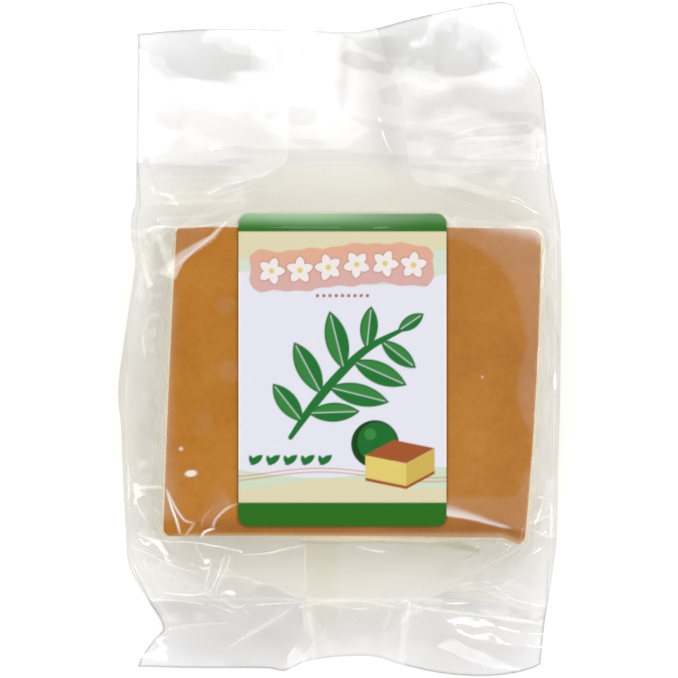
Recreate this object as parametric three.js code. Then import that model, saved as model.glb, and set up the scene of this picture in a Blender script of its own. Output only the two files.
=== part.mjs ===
// A thick slab of castella sponge cake sealed in a clear side-gusseted bag, with a paper label stuck on its front.
// The pack lies on its back: +X runs to the label's right, +Y to its top, +Z out of its front, and z = 0 is the table.
// Units are millimetres.
import * as THREE from "three";

// The cake slab, which the film is drawn over, where it has slipped to inside the bag. It was cut a little askew. The
// corners run anticlockwise from the near left one.
const CAKE = { height: 31, cornerRadius: 3, corners: [[-50.6, -56.2], [53.6, -58.2], [58.4, 31], [-46.9, 32]] };
const CAKE_ENDS = { near: -57.6, far: 31.7 };

// The paper label, flat on the front panel. Its top edge reaches past the cake, and the film under it stays flat.
const LABEL = { width: 60, length: 90.2, x: 1, y: -8.9, cornerRadius: 2.9, thickness: 0.25, gap: 0.15 };
const LABEL_PLAN = {
  cornerRadius: LABEL.cornerRadius,
  corners: [[-1, -1], [1, -1], [1, 1], [-1, 1]].map(([side, end]) => [
    LABEL.x + (side * LABEL.width) / 2,
    LABEL.y + (end * LABEL.length) / 2,
  ]),
};

// The bag's two side creases seen from the front, as [y, x] pairs that a smooth curve runs through.
const LEFT_CREASE = [
  [-96.8, -59.4], [-93.9, -58.3], [-89.2, -55], [-85, -51.8], [-76.7, -56.1], [-66.8, -60.9], [-55.8, -61.6],
  [-41.1, -62.4], [-26.5, -63], [-14.9, -63.9], [-1.8, -62.4], [11.5, -60.4], [22.5, -58.9], [28.9, -60.1],
  [36.2, -60.1], [39.2, -59.2], [51.2, -59.4], [70.3, -59.4], [90, -59.4],
];
const RIGHT_CREASE = [
  [-95.9, 59.4], [-84.2, 60.3], [-76.7, 61.4], [-67.6, 62.1], [-57.2, 63], [-41.1, 63.3], [-17.8, 63.9], [5.5, 64.2],
  [27.4, 64.2], [36.2, 63.7], [43.7, 62.5], [52.7, 61.5], [64.4, 60.6], [76.2, 59.2], [81.5, 56.4], [90.9, 53.8],
  [98.9, 51.2],
];
// The cut ends of the bag, as [share of the way across, y] pairs: -1 is the left crease and 1 the right one.
const TOP_END = [
  [-1, 90], [-0.66, 91.2], [-0.13, 91.2], [0.11, 90.6], [0.23, 91.5], [0.4, 93.9], [0.61, 96.5], [0.93, 99.5],
  [1, 98.9],
];
const BOTTOM_END = [
  [-1, -96.8], [-0.69, -97.1], [-0.34, -97.1], [-0.27, -97.8], [-0.17, -95], [0.03, -93.4], [0.18, -93.7],
  [0.3, -95.9], [0.5, -98.6], [0.68, -99.5], [0.82, -99.1], [0.95, -97.4], [1, -95.9],
];

// How the film leaves the slab and closes into the flat fins.
const FILM = {
  slope: 19, // how far from the slab the front panel comes down and meets the back one
  finHeight: 12, // height of the fins where they start
  finTipHeight: 8.5, // and at their cut ends
  finDroop: 30, // how far along a fin it has drooped to that
  finThickness: 1.2,
  finWave: 1.1, // how far the fins ripple up and down
  frontLow: 27, // how low the front panel comes beside the slab
  backRise: 5, // how high the back panel rises there
};

// The gusset, tucked in between the two panels until it lies against the slab's side.
const TUCK = { slabGap: 2, wallTop: 0.84, wallBottom: 0.16, ease: 0.35 };

// Mesh steps across the panels and along the bag, and how much closer they lie near the creases and the slab's ends.
const ACROSS = 30;
const ALONG = 46;
const CLOSER_ACROSS = 0.55;
const CLOSER_ALONG = 0.035;

const clamp01 = (t) => Math.min(Math.max(t, 0), 1);
const smooth = (t) => clamp01(t) ** 2 * (3 - 2 * clamp01(t));
const soft = (t) => (clamp01(t) + smooth(t)) / 2;
const mix = (a, b, t) => a + (b - a) * t;

// A smooth curve through [at, value] pairs: cubic pieces whose slopes are the neighbours' mean slope.
function through(pairs, at) {
  const last = pairs.length - 1;
  const next = pairs.findIndex(([a]) => a > at);
  const i = next < 0 ? last - 1 : Math.max(next - 1, 0);
  const slope = (k) => {
    const [a, b] = [pairs[Math.max(k - 1, 0)], pairs[Math.min(k + 1, last)]];
    return (b[1] - a[1]) / (b[0] - a[0]);
  };
  const [[a0, v0], [a1, v1]] = [pairs[i], pairs[i + 1]];
  const step = a1 - a0;
  const t = clamp01((at - a0) / step);
  const values = v0 * (1 + 2 * t) * (1 - t) ** 2 + v1 * t * t * (3 - 2 * t);
  return values + slope(i) * step * t * (1 - t) ** 2 - slope(i + 1) * step * t * t * (1 - t);
}

// Distance outside a nearly rectangular plan with round corners, negative inside it.
function outside(x, y, { corners, cornerRadius: r }) {
  const [near, right, far, left] = corners.map(([x0, y0], i) => {
    const [x1, y1] = corners[(i + 1) % 4];
    return ((x - x0) * (y1 - y0) - (y - y0) * (x1 - x0)) / Math.hypot(x1 - x0, y1 - y0);
  });
  const [qx, qy] = [Math.max(left, right) + r, Math.max(near, far) + r];
  return Math.hypot(Math.max(qx, 0), Math.max(qy, 0)) + Math.min(Math.max(qx, qy), 0) - r;
}

// How far along the bag a point is past the slab's ends, negative beside the slab.
const pastEnds = (y) => Math.max(CAKE_ENDS.near - y, y - CAKE_ENDS.far);

// How far a point is into the slope past the slab's ends: 0 beside the slab, 1 where the fins start.
const closing = (y) => clamp01(pastEnds(y) / FILM.slope);

// Height of the middle of the fins, which droop towards their cut ends and ripple across.
function finHeight(across, y) {
  const reach = pastEnds(y) - FILM.slope;
  const droop = mix(FILM.finHeight, FILM.finTipHeight, smooth(reach / FILM.finDroop));
  return droop + FILM.finWave * Math.sin(4.2 * across + 0.05 * y) * smooth((2 * reach) / FILM.finDroop);
}

// Heights of the front and back panels at a point of the plan.
function panels(across, x, y) {
  const fin = finHeight(across, y);
  const low = mix(FILM.frontLow, fin + FILM.finThickness / 2, closing(y));
  const rise = mix(FILM.backRise, fin - FILM.finThickness / 2, closing(y));
  const fromSlab = outside(x, y, CAKE) / FILM.slope;
  const fromFlat = Math.min(fromSlab, outside(x, y, LABEL_PLAN) / FILM.slope);
  return { front: mix(CAKE.height, low, soft(fromFlat)), back: mix(0, rise, soft(fromSlab)) };
}

// The point at a share of the way across the bag and a share of the way along it.
function placeOn(across, along) {
  const y = mix(through(BOTTOM_END, across), through(TOP_END, across), along);
  const x = mix(through(LEFT_CREASE, y), through(RIGHT_CREASE, y), (across + 1) / 2);
  return { x, y, ...panels(across, x, y) };
}

// The tuck between a side's two creases: in from each crease to the slab's side, where it has an upright wall. It
// fades out where the panels close into the fins. The points run inwards, and the last one is the wall's middle.
function tuckPoints(side, along) {
  const { x, y, front, back } = placeOn(side, along);
  const [nearLeft, nearRight, farRight, farLeft] = CAKE.corners;
  const [near, far] = side < 0 ? [nearLeft, farLeft] : [nearRight, farRight];
  const slabSide = mix(near[0], far[0], clamp01((y - near[1]) / (far[1] - near[1]))) + side * TUCK.slabGap;
  const fade = smooth((front - back - FILM.finThickness) / (TUCK.ease * CAKE.height));
  const wall = mix(x, slabSide, fade);
  return [
    { x: wall, y, upper: mix(back, front, TUCK.wallTop), lower: mix(back, front, TUCK.wallBottom) },
    { x: wall, y, upper: (front + back) / 2, lower: (front + back) / 2 },
  ];
}

// One cross-section as two chains from the left tuck to the right one: over the front panel and under the back one.
// The chains share their two ends.
function crossSection(along) {
  const leftTuck = tuckPoints(-1, along).reverse();
  const rightTuck = tuckPoints(1, along);
  const faces = Array.from({ length: ACROSS + 1 }, (_, i) => {
    const { x, y, front, back } = placeOn(acrossAt(i), along);
    return { x, y, upper: front, lower: back };
  });
  const chain = [...leftTuck, ...faces, ...rightTuck];
  return {
    top: chain.map(({ x, y, upper }) => [x, y, upper]),
    bottom: chain.map(({ x, y, lower }) => [x, y, lower]),
  };
}

function acrossAt(i) {
  const t = (2 * i) / ACROSS - 1;
  return mix(t, Math.sin((Math.PI / 2) * t), CLOSER_ACROSS);
}

function alongAt(j) {
  const t = j / ALONG;
  const phase = 0.9;
  return t + CLOSER_ALONG * (Math.sin(4 * Math.PI * t + phase) - Math.sin(phase));
}

// A closed solid between a top sheet and a bottom sheet, which meet along both sides and are capped at both ends.
function solidBetween(sections) {
  const positions = [];
  const index = [];
  const add = (p) => positions.push(...p) / 3 - 1;
  const across = sections[0].top.length - 1;
  const topRows = sections.map(({ top }) => top.map(add));
  const bottomRows = sections.map(({ bottom }, j) =>
    bottom.map((p, k) => (k === 0 || k === across ? topRows[j][k] : add(p))),
  );
  const quad = (a, b, c, d) => {
    if (a !== b) index.push(a, b, c);
    if (c !== d) index.push(a, c, d);
  };
  for (let j = 0; j + 1 < sections.length; j++) {
    for (let k = 0; k < across; k++) {
      quad(topRows[j][k], topRows[j][k + 1], topRows[j + 1][k + 1], topRows[j + 1][k]);
      quad(bottomRows[j][k], bottomRows[j + 1][k], bottomRows[j + 1][k + 1], bottomRows[j][k + 1]);
    }
  }
  const last = sections.length - 1;
  for (let k = 0; k < across; k++) {
    quad(bottomRows[0][k], bottomRows[0][k + 1], topRows[0][k + 1], topRows[0][k]);
    quad(topRows[last][k], topRows[last][k + 1], bottomRows[last][k + 1], bottomRows[last][k]);
  }
  const geometry = new THREE.BufferGeometry();
  geometry.setAttribute("position", new THREE.Float32BufferAttribute(positions, 3));
  geometry.setIndex(index);
  geometry.computeVertexNormals();
  return geometry;
}

// The sealed bag, with the slab's form standing out of it.
function makeBag() {
  const sections = Array.from({ length: ALONG + 1 }, (_, j) => crossSection(alongAt(j)));
  const film = { color: 0xe2dfd2, roughness: 0.18, metalness: 0, transparent: true, opacity: 0.55 };
  const bag = new THREE.Mesh(solidBetween(sections), new THREE.MeshStandardMaterial(film));
  bag.name = "bag";
  return bag;
}

// The label: a sheet of paper with round corners.
function makeLabel() {
  const { cornerRadius: r } = LABEL;
  const [right, top] = [LABEL.width / 2, LABEL.length / 2];
  const outline = new THREE.Shape();
  outline.absarc(right - r, -top + r, r, -Math.PI / 2, 0);
  outline.absarc(right - r, top - r, r, 0, Math.PI / 2);
  outline.absarc(-right + r, top - r, r, Math.PI / 2, Math.PI);
  outline.absarc(-right + r, -top + r, r, Math.PI, 1.5 * Math.PI);
  const sheet = new THREE.ExtrudeGeometry(outline, { depth: LABEL.thickness, bevelEnabled: false, curveSegments: 8 });
  const paper = { color: 0xe4e5f0, roughness: 0.4, metalness: 0 };
  const label = new THREE.Mesh(sheet, new THREE.MeshStandardMaterial(paper));
  label.position.set(LABEL.x, LABEL.y, CAKE.height + LABEL.gap);
  label.name = "label";
  return label;
}

// The pack stands on z = 0 with the middle of its plan at the origin.
const pack = new THREE.Group();
pack.add(makeBag(), makeLabel());
const middle = new THREE.Box3().setFromObject(pack).getCenter(new THREE.Vector3());
pack.position.set(-middle.x, -middle.y, 0);

export default pack;
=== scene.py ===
"""A slab of castella sponge cake in a clear side-gusseted bag with a paper label on its front.

The classes hold their sizes in millimetres, in the plan that the bag's outline is drawn in: x runs to the
label's right, y to its top and z up from the table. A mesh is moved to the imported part's frame and scaled to
metres when it is written. A pair named _from, _to or _between holds the places that a smooth step runs
between.
"""

import logging
import math
from dataclasses import dataclass, field
from enum import Enum

import bpy
import numpy as np
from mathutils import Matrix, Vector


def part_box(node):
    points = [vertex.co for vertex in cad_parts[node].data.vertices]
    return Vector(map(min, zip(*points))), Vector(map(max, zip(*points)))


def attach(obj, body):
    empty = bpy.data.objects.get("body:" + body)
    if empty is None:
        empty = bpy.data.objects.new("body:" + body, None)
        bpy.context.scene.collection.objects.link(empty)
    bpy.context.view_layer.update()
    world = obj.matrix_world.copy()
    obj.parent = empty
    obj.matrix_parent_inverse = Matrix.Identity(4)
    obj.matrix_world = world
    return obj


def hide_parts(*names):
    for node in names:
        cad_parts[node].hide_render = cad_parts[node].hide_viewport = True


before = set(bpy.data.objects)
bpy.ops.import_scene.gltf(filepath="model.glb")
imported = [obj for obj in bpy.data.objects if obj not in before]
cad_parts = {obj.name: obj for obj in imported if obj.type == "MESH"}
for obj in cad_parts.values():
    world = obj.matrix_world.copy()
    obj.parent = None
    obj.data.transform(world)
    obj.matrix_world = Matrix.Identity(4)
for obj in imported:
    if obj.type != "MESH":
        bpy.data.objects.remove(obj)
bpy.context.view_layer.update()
LOG = logging.getLogger("castella_pack")
METRES = 0.001
BODY = "root"

# Short names for the types in the signatures.
Piece = bpy.types.Object
Material = bpy.types.Material
Socket = bpy.types.NodeSocket
Array = np.ndarray
Number = Array | float
Pair = tuple[float, float]
Path = tuple[Pair, ...]
Rgb = tuple[float, float, float]


# ---- Curves, fields and meshes ----


def mix(low: Number, high: Number, share: Number) -> Number:
    """Goes from low to high as share goes from 0 to 1."""
    return low + (high - low) * share


def smooth(t: Number) -> Number:
    """The smooth step 3t^2 - 2t^3, held at 0 below 0 and at 1 above 1."""
    t = np.clip(t, 0.0, 1.0)
    return t * t * (3.0 - 2.0 * t)


def between(t: Array, start: float, stop: float) -> Array:
    """The smooth step from 0 where t is start to 1 where t is stop, which may be the lower."""
    return smooth((t - start) / (stop - start))


def positive(t: Array, bend: float) -> Array:
    """The larger of t and 0 with a rounded corner: half of the sum of t and the root of t^2 + bend^2."""
    return 0.5 * (t + np.sqrt(t * t + bend * bend))


def fall(t: Array, bend: float, foot_bend: Number | None = None) -> Array:
    """Falls in a straight line from 1 at t = 0 to 0 at t = 1 with both corners rounded, and is level outside.

    Args:
        t: How far along the fall.
        bend: How wide the upper corner is rounded.
        foot_bend: How wide the lower corner is rounded, if not as the upper one.

    Returns:
        The share of the height that is left.
    """
    return 1.0 - positive(t, bend) + positive(t - 1.0, bend if foot_bend is None else foot_bend)


def bell(t: Array, power: Number = 2.0) -> Array:
    """The bell curve exp(-t^power): 1 at t = 0, and flatter with a crisper edge for a higher power."""
    return np.exp(-(t**power))


def round_box(past_x: Array, past_y: Array, radius: Number) -> Array:
    """Distance outside a box with round corners, negative inside it.

    Args:
        past_x: How far a point lies past the nearest corner's centre in x, negative if short of it.
        past_y: The same in y.
        radius: The corner's radius.

    Returns:
        The distance from the centre where a point is past it both ways, or else the larger of the two, less
        the radius.
    """
    beyond = np.hypot(np.maximum(past_x, 0), np.maximum(past_y, 0))
    return beyond + np.minimum(np.maximum(past_x, past_y), 0) - radius


def through(pairs: Path, at: Array) -> Array:
    """Reads a smooth curve through pairs: cubic pieces that share the mean slope of their neighbours.

    Args:
        pairs: (place, value) pairs in the order of place.
        at: The places to read the curve at. Past its ends the curve is level.

    Returns:
        The curve's values, in the shape of at.
    """
    place, value = np.array(pairs, dtype=float).T
    before = np.maximum(np.arange(len(place)) - 1, 0)
    after = np.minimum(np.arange(len(place)) + 1, len(place) - 1)
    slope = (value[after] - value[before]) / (place[after] - place[before])
    i = np.clip(np.searchsorted(place, at, side="right") - 1, 0, len(place) - 2)
    step = place[i + 1] - place[i]
    t = np.clip((at - place[i]) / step, 0.0, 1.0)
    ends = value[i] * (1 + 2 * t) * (1 - t) ** 2 + value[i + 1] * t * t * (3 - 2 * t)
    return ends + step * t * (1 - t) * (slope[i] * (1 - t) - slope[i + 1] * t)


def resample(path: tuple[tuple[float, ...], ...], pieces: int) -> Array:
    """Points along a smooth curve through a path.

    Args:
        path: The points that the curve runs through, with any number of values each.
        pieces: How many equal shares each span of the path is cut into.

    Returns:
        The curve's points, one row each.
    """
    points = np.array(path, dtype=float)
    numbered = np.arange(len(points))
    t = np.linspace(0, len(points) - 1, pieces * (len(points) - 1) + 1)
    return np.stack([through(tuple(zip(numbered, column)), t) for column in points.T], axis=-1)


def swell(x: Array, y: Array, wavelength: float, seed: int, waves: int = 14) -> Array:
    """A smooth random field of about unit height: the sum of plane sine waves of random heading and phase.

    Args:
        x: Plan x.
        y: Plan y.
        wavelength: The mean wavelength in millimetres; each wave's own lies within a third of it.
        seed: Seeds the headings and phases.
        waves: How many waves are added.

    Returns:
        The field's height at each point.
    """
    rng = np.random.default_rng(seed)
    total = np.zeros(np.broadcast(x, y).shape)
    for heading, phase, stretch in zip(
        rng.uniform(0, math.tau, waves), rng.uniform(0, math.tau, waves), rng.uniform(0.67, 1.33, waves)
    ):
        turns = (x * math.cos(heading) + y * math.sin(heading)) / (wavelength * stretch)
        total += np.sin(math.tau * turns + phase)
    return total * math.sqrt(2.0 / waves)


def facets(x: Array, y: Array, wavelength: float, seed: int, waves: int = 5) -> Array:
    """A faceted field of about unit height, like crumpled film: a sum of triangle waves with rounded corners.

    Args:
        x: Plan x.
        y: Plan y.
        wavelength: The mean distance from one fold to the next but one, in millimetres.
        seed: Seeds the headings and phases.
        waves: How many waves are added.

    Returns:
        The field's height at each point.
    """
    sharp = 0.985
    rng = np.random.default_rng(seed)
    total = np.zeros(np.broadcast(x, y).shape)
    for heading, phase, stretch in zip(
        rng.uniform(0, math.tau, waves), rng.uniform(0, math.tau, waves), rng.uniform(0.6, 1.5, waves)
    ):
        turns = (x * math.cos(heading) + y * math.sin(heading)) / (wavelength * stretch)
        total += np.arcsin(sharp * np.sin(math.tau * turns + phase)) / math.asin(sharp)
    return total * math.sqrt(3.0 / waves)


def grid_quads(rows: int, columns: int) -> Array:
    """The quads of a grid of points that are numbered row by row.

    Args:
        rows: The number of rows.
        columns: The number of points in a row.

    Returns:
        Four point numbers for each quad, wound so that the way along a row and then up a column turns left.
    """
    index = np.arange(rows * columns).reshape(rows, columns)
    corners = (index[:-1, :-1], index[:-1, 1:], index[1:, 1:], index[1:, :-1])
    return np.stack(corners, axis=-1).reshape(-1, 4)


def box_lattice(counts: tuple[int, int, int]) -> tuple[Array, Array]:
    """A closed box skin of square cells: the outer points of a lattice, from -1 to 1 each way, and its quads.

    Args:
        counts: The number of cells along x, y and z.

    Returns:
        The points, one row each, and the quads, wound to face outwards.
    """
    size = np.array(counts) + 1
    ids, quads = [], []
    for axis in range(3):
        u, v = (axis + 1) % 3, (axis + 2) % 3
        gu, gv = np.meshgrid(np.arange(size[u]), np.arange(size[v]), indexing="ij")
        for side in (0, counts[axis]):
            cell = np.zeros(gu.shape + (3,), dtype=int)
            cell[..., u], cell[..., v], cell[..., axis] = gu, gv, side
            flat = (cell[..., 0] * size[1] + cell[..., 1]) * size[2] + cell[..., 2]
            corners = [flat[:-1, :-1], flat[1:, :-1], flat[1:, 1:], flat[:-1, 1:]]
            quads.append(np.stack(corners if side else corners[::-1], axis=-1).reshape(-1, 4))
            ids.append(flat.ravel())
    used, inverse = np.unique(np.concatenate([q.ravel() for q in quads]), return_inverse=True)
    lattice = np.stack(np.unravel_index(used, tuple(size)), axis=-1)
    return 2.0 * lattice / np.array(counts) - 1.0, inverse.reshape(-1, 4)


def paint(piece: Piece, layer: str, colour: Array) -> None:
    """Writes linear RGB colours into a colour layer on a piece's points.

    Args:
        piece: The mesh object.
        layer: The layer's name.
        colour: Linear RGB, in the order of the points.
    """
    rgba = np.concatenate([colour.reshape(-1, 3), np.ones((colour.size // 3, 1))], axis=1)
    colours = piece.data.color_attributes.new(layer, "FLOAT_COLOR", "POINT")
    colours.data.foreach_set("color", rgba.astype(np.float32).ravel())


def weigh(piece: Piece, layer: str, share: Array) -> None:
    """Writes one number for each of a piece's points into a float layer, in the order of the points."""
    values = piece.data.attributes.new(layer, "FLOAT", "POINT")
    values.data.foreach_set("value", share.astype(np.float32).ravel())


class Place:
    """Where the bag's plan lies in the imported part's frame, read from the label's solid."""

    def __init__(self, label: "LabelSheet") -> None:
        """Keeps the shift from the plan to the part's frame, in millimetres.

        Args:
            label: The label's outline in the plan, whose middle is laid on the solid's.
        """
        low, high = (np.array(corner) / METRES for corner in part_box("label"))
        middle = (low + high) / 2
        self.shift = np.array([middle[0] - label.x, middle[1] - label.y, 0.0])

    def write(self, name: str, points: Array, quads: Array, material: Material) -> Piece:
        """Writes a smooth-shaded mesh object at the origin, with its place in its vertices.

        Args:
            name: The piece's name.
            points: Plan points in millimetres, one row each.
            quads: Four point numbers for each face.
            material: The finish.

        Returns:
            The linked object.
        """
        mesh = bpy.data.meshes.new(name)
        moved = (points + self.shift) * METRES
        mesh.from_pydata(moved.tolist(), [], quads.tolist())
        mesh.materials.append(material)
        mesh.shade_smooth()
        piece = bpy.data.objects.new(name, mesh)
        bpy.context.scene.collection.objects.link(piece)
        return piece


# ---- Finishes ----


class Graph:
    """A material's node tree, with a short way to add a node and wire it."""

    def __init__(self, name: str) -> None:
        """Makes an empty node material.

        Args:
            name: The material's name.
        """
        self.material = bpy.data.materials.new(name)
        self.material.use_nodes = True
        self.tree = self.material.node_tree
        self.tree.nodes.clear()

    def add(self, kind: str, inputs: dict | None = None, **settings: object) -> bpy.types.Node:
        """Adds a node.

        Args:
            kind: The node's type name without its ShaderNode prefix.
            inputs: Values or output sockets for input sockets, by socket name or number.
            settings: The node's own properties.

        Returns:
            The node.
        """
        node = self.tree.nodes.new("ShaderNode" + kind)
        for key, value in settings.items():
            setattr(node, key, value)
        for key, value in (inputs or {}).items():
            if isinstance(value, Socket):
                self.tree.links.new(value, node.inputs[key])
            else:
                node.inputs[key].default_value = value
        return node

    def ramp(self, factor: Socket, stops: list[tuple[float, tuple]]) -> Socket:
        """Adds a colour ramp.

        Args:
            factor: The place along the ramp.
            stops: (place, linear colour) pairs in order.

        Returns:
            The ramp's colour socket.
        """
        node = self.add("ValToRGB", {"Fac": factor})
        elements = node.color_ramp.elements
        while len(elements) < len(stops):
            elements.new(0.5)
        for element, (at, colour) in zip(elements, stops):
            element.position = at
            element.color = (*colour, 1.0)
        return node.outputs["Color"]

    def noise(self, scale: float, detail: float, roughness: float = 0.5) -> Socket:
        """Adds noise on Object coordinates.

        Args:
            scale: How many patches fit in a metre.
            detail: How many finer sizes are added.
            roughness: How strong the finer ones are.

        Returns:
            The noise's factor socket.
        """
        where = self.add("TexCoord").outputs["Object"]
        settings = {"Vector": where, "Scale": scale, "Detail": detail, "Roughness": roughness}
        return self.add("TexNoise", settings).outputs[0]

    def blend(self, share: float, low: Socket, high: Socket) -> Socket:
        """Adds a mix of two factor sockets and returns its own."""
        return self.add("Mix", {0: share, 2: low, 3: high}, data_type="FLOAT").outputs[0]

    def skin(self, finish: object, colour: Socket, bump: bpy.types.Node, **more: float) -> Material:
        """Builds an opaque surface.

        Args:
            finish: The finish, which holds its roughness and specular level.
            colour: The colour socket.
            bump: The bump node.
            more: Values for more of the shader's sockets, by name, with a low line for each space.

        Returns:
            The material.
        """
        inputs = {"Base Color": colour, "Roughness": finish.roughness, "Specular IOR Level": finish.specular}
        inputs |= {key.replace("_", " "): value for key, value in more.items()}
        return self.finish(self.add("BsdfPrincipled", {**inputs, "Normal": bump.outputs[0]}).outputs[0])

    def finish(self, surface: Socket) -> Material:
        """Wires the surface shader to the output and returns the material."""
        self.add("OutputMaterial", {"Surface": surface})
        return self.material


def linear(red: int, green: int, blue: int) -> Rgb:
    """Turns an 8-bit sRGB colour into a linear one by the sRGB curve."""
    share = np.array([red, green, blue]) / 255.0
    return tuple(np.where(share <= 0.04045, share / 12.92, ((share + 0.055) / 1.055) ** 2.4).tolist())


@dataclass(frozen=True)
class FilmFinish:
    """Clear glossy film: what it lets through, how much it mirrors, and its faint milkiness, into which
    painted sheen and highlights are laid.
    """

    cast: str = "cast"
    milk_and_sheen: Rgb = (0.95, 0.92, 0.87)
    milk_and_sheen_layer: str = "milk_and_sheen"
    milkiness: Pair = (0.001, 0.01)
    milky_between: Pair = (-30.0, 30.0)
    lifted_reflection: float = 0.046
    fin_haze: float = 0.06
    fin_haze_between: Pair = (50.0, 64.0)
    head_on_mirror: float = 0.047
    grazing_mirror: float = 0.8
    roughness: float = 0.06

    def make(self, name: str) -> Material:
        """Builds the shader: see-through film under a mirror that grows with the fifth power of the facing.

        Args:
            name: The material's name.

        Returns:
            The material.
        """
        graph = Graph(name)
        facing = graph.add("LayerWeight", {"Blend": 0.5}).outputs["Facing"]
        power = graph.add("Math", {0: facing, 1: 5.0}, operation="POWER").outputs[0]
        mirror = graph.add(
            "Math", {0: power, 1: self.grazing_mirror, 2: self.head_on_mirror}, operation="MULTIPLY_ADD"
        ).outputs[0]
        tint = graph.add("Attribute", attribute_name=self.cast).outputs["Color"]
        clear = graph.add("BsdfTransparent", {"Color": tint}).outputs[0]
        milk_and_sheen = graph.add("BsdfDiffuse", {"Color": (*self.milk_and_sheen, 1)}).outputs[0]
        # This layer holds the faint milkiness and the painted sheen and highlights, shown as a pale diffuse.
        milk_and_sheen_share = graph.add("Attribute", attribute_name=self.milk_and_sheen_layer).outputs["Fac"]
        sheet = graph.add("MixShader", {"Fac": milk_and_sheen_share, 1: clear, 2: milk_and_sheen}).outputs[0]
        gloss = graph.add(
            "BsdfAnisotropic", {"Color": (1, 1, 1, 1), "Roughness": self.roughness}, distribution="GGX"
        ).outputs[0]
        return graph.finish(graph.add("MixShader", {"Fac": mirror, 1: sheet, 2: gloss}).outputs[0])


@dataclass(frozen=True)
class CrustFinish:
    """Baked brown crust: soft mottling in three sizes, fine pits, and darker flecks."""

    base: Rgb = (0.418, 0.163, 0.0195)
    deep: Rgb = (0.377, 0.138, 0.0128)
    pale: Rgb = (0.459, 0.191, 0.0325)
    lip: Rgb = (0.52, 0.34, 0.2)
    bake_and_shade: Rgb = (0.8, 0.76, 1.25)
    lip_layer: str = "lip"
    bake_and_shade_layer: str = "bake_and_shade"
    roughness: float = 0.62
    specular: float = 0.08

    def make(self, name: str) -> Material:
        """Builds the shader from noise on Object coordinates, darkened by a layer of darker bake and painted
        shade and paled by a lip layer on the mesh.

        Args:
            name: The material's name.

        Returns:
            The material.
        """
        graph = Graph(name)
        speck = graph.noise(420.0, 3.0, 0.6)
        both = graph.blend(0.3, graph.noise(45.0, 4.0, 0.55), speck)
        colour = graph.ramp(both, [(0.36, self.deep), (0.5, self.base), (0.66, self.pale)])
        bake_and_shade = graph.add("Attribute", attribute_name=self.bake_and_shade_layer).outputs["Fac"]
        colour = graph.add(
            "Mix", {0: bake_and_shade, 6: colour, 7: (*self.bake_and_shade, 1)}, data_type="RGBA", blend_type="MULTIPLY"
        ).outputs[2]
        lip = graph.add("Attribute", attribute_name=self.lip_layer).outputs["Fac"]
        colour = graph.add("Mix", {0: lip, 6: colour, 7: (*self.lip, 1)}, data_type="RGBA").outputs[2]
        height = graph.blend(0.55, speck, graph.noise(1500.0, 2.0, 0.6))
        bump = graph.add("Bump", {"Strength": 0.35, "Distance": 0.0006, "Height": height})
        return graph.skin(self, colour, bump)


@dataclass(frozen=True)
class CrumbFinish:
    """Cut sponge crumb: pale yellow-green with darker pores."""

    wall: Rgb = linear(220, 209, 180)
    pore: Rgb = linear(188, 174, 134)
    roughness: float = 0.85
    specular: float = 0.2

    def make(self, name: str) -> Material:
        """Builds the shader from cell and noise patterns on Object coordinates.

        Args:
            name: The material's name.

        Returns:
            The material.
        """
        graph = Graph(name)
        where = graph.add("TexCoord").outputs["Object"]
        cells = graph.add("TexVoronoi", {"Vector": where, "Scale": 900.0, "Randomness": 1.0})
        both = graph.blend(0.5, cells.outputs["Distance"], graph.noise(120.0, 4.0, 0.6))
        colour = graph.ramp(both, [(0.2, self.pore), (0.46, self.wall), (0.9, self.wall)])
        bump = graph.add("Bump", {"Strength": 0.5, "Distance": 0.0005, "Height": cells.outputs["Distance"]})
        return graph.skin(self, colour, bump)


@dataclass(frozen=True)
class PrintFinish:
    """Coated paper whose ink colours are held on the mesh."""

    layer: str = "ink"
    roughness: float = 0.42
    specular: float = 0.12
    coat: float = 0.5
    coat_roughness: float = 0.12

    def make(self, name: str) -> Material:
        """Builds the shader: the ink layer under a thin gloss coat over faint paper grain.

        Args:
            name: The material's name.

        Returns:
            The material.
        """
        graph = Graph(name)
        ink = graph.add("Attribute", attribute_name=self.layer).outputs["Color"]
        grain = graph.add("Bump", {"Strength": 0.06, "Distance": 0.0002, "Height": graph.noise(900.0, 3.0)})
        return graph.skin(self, ink, grain, Coat_Weight=self.coat, Coat_Roughness=self.coat_roughness)


@dataclass(frozen=True)
class FloorFinish:
    """A pale matt floor."""

    colour: Rgb = (0.93, 0.93, 0.93)

    def make(self, name: str) -> Material:
        """Builds a plain matt shader."""
        graph = Graph(name)
        return graph.finish(graph.add("BsdfDiffuse", {"Color": (*self.colour, 1)}).outputs[0])


# ---- Plan shapes shared by the pieces ----


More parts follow.
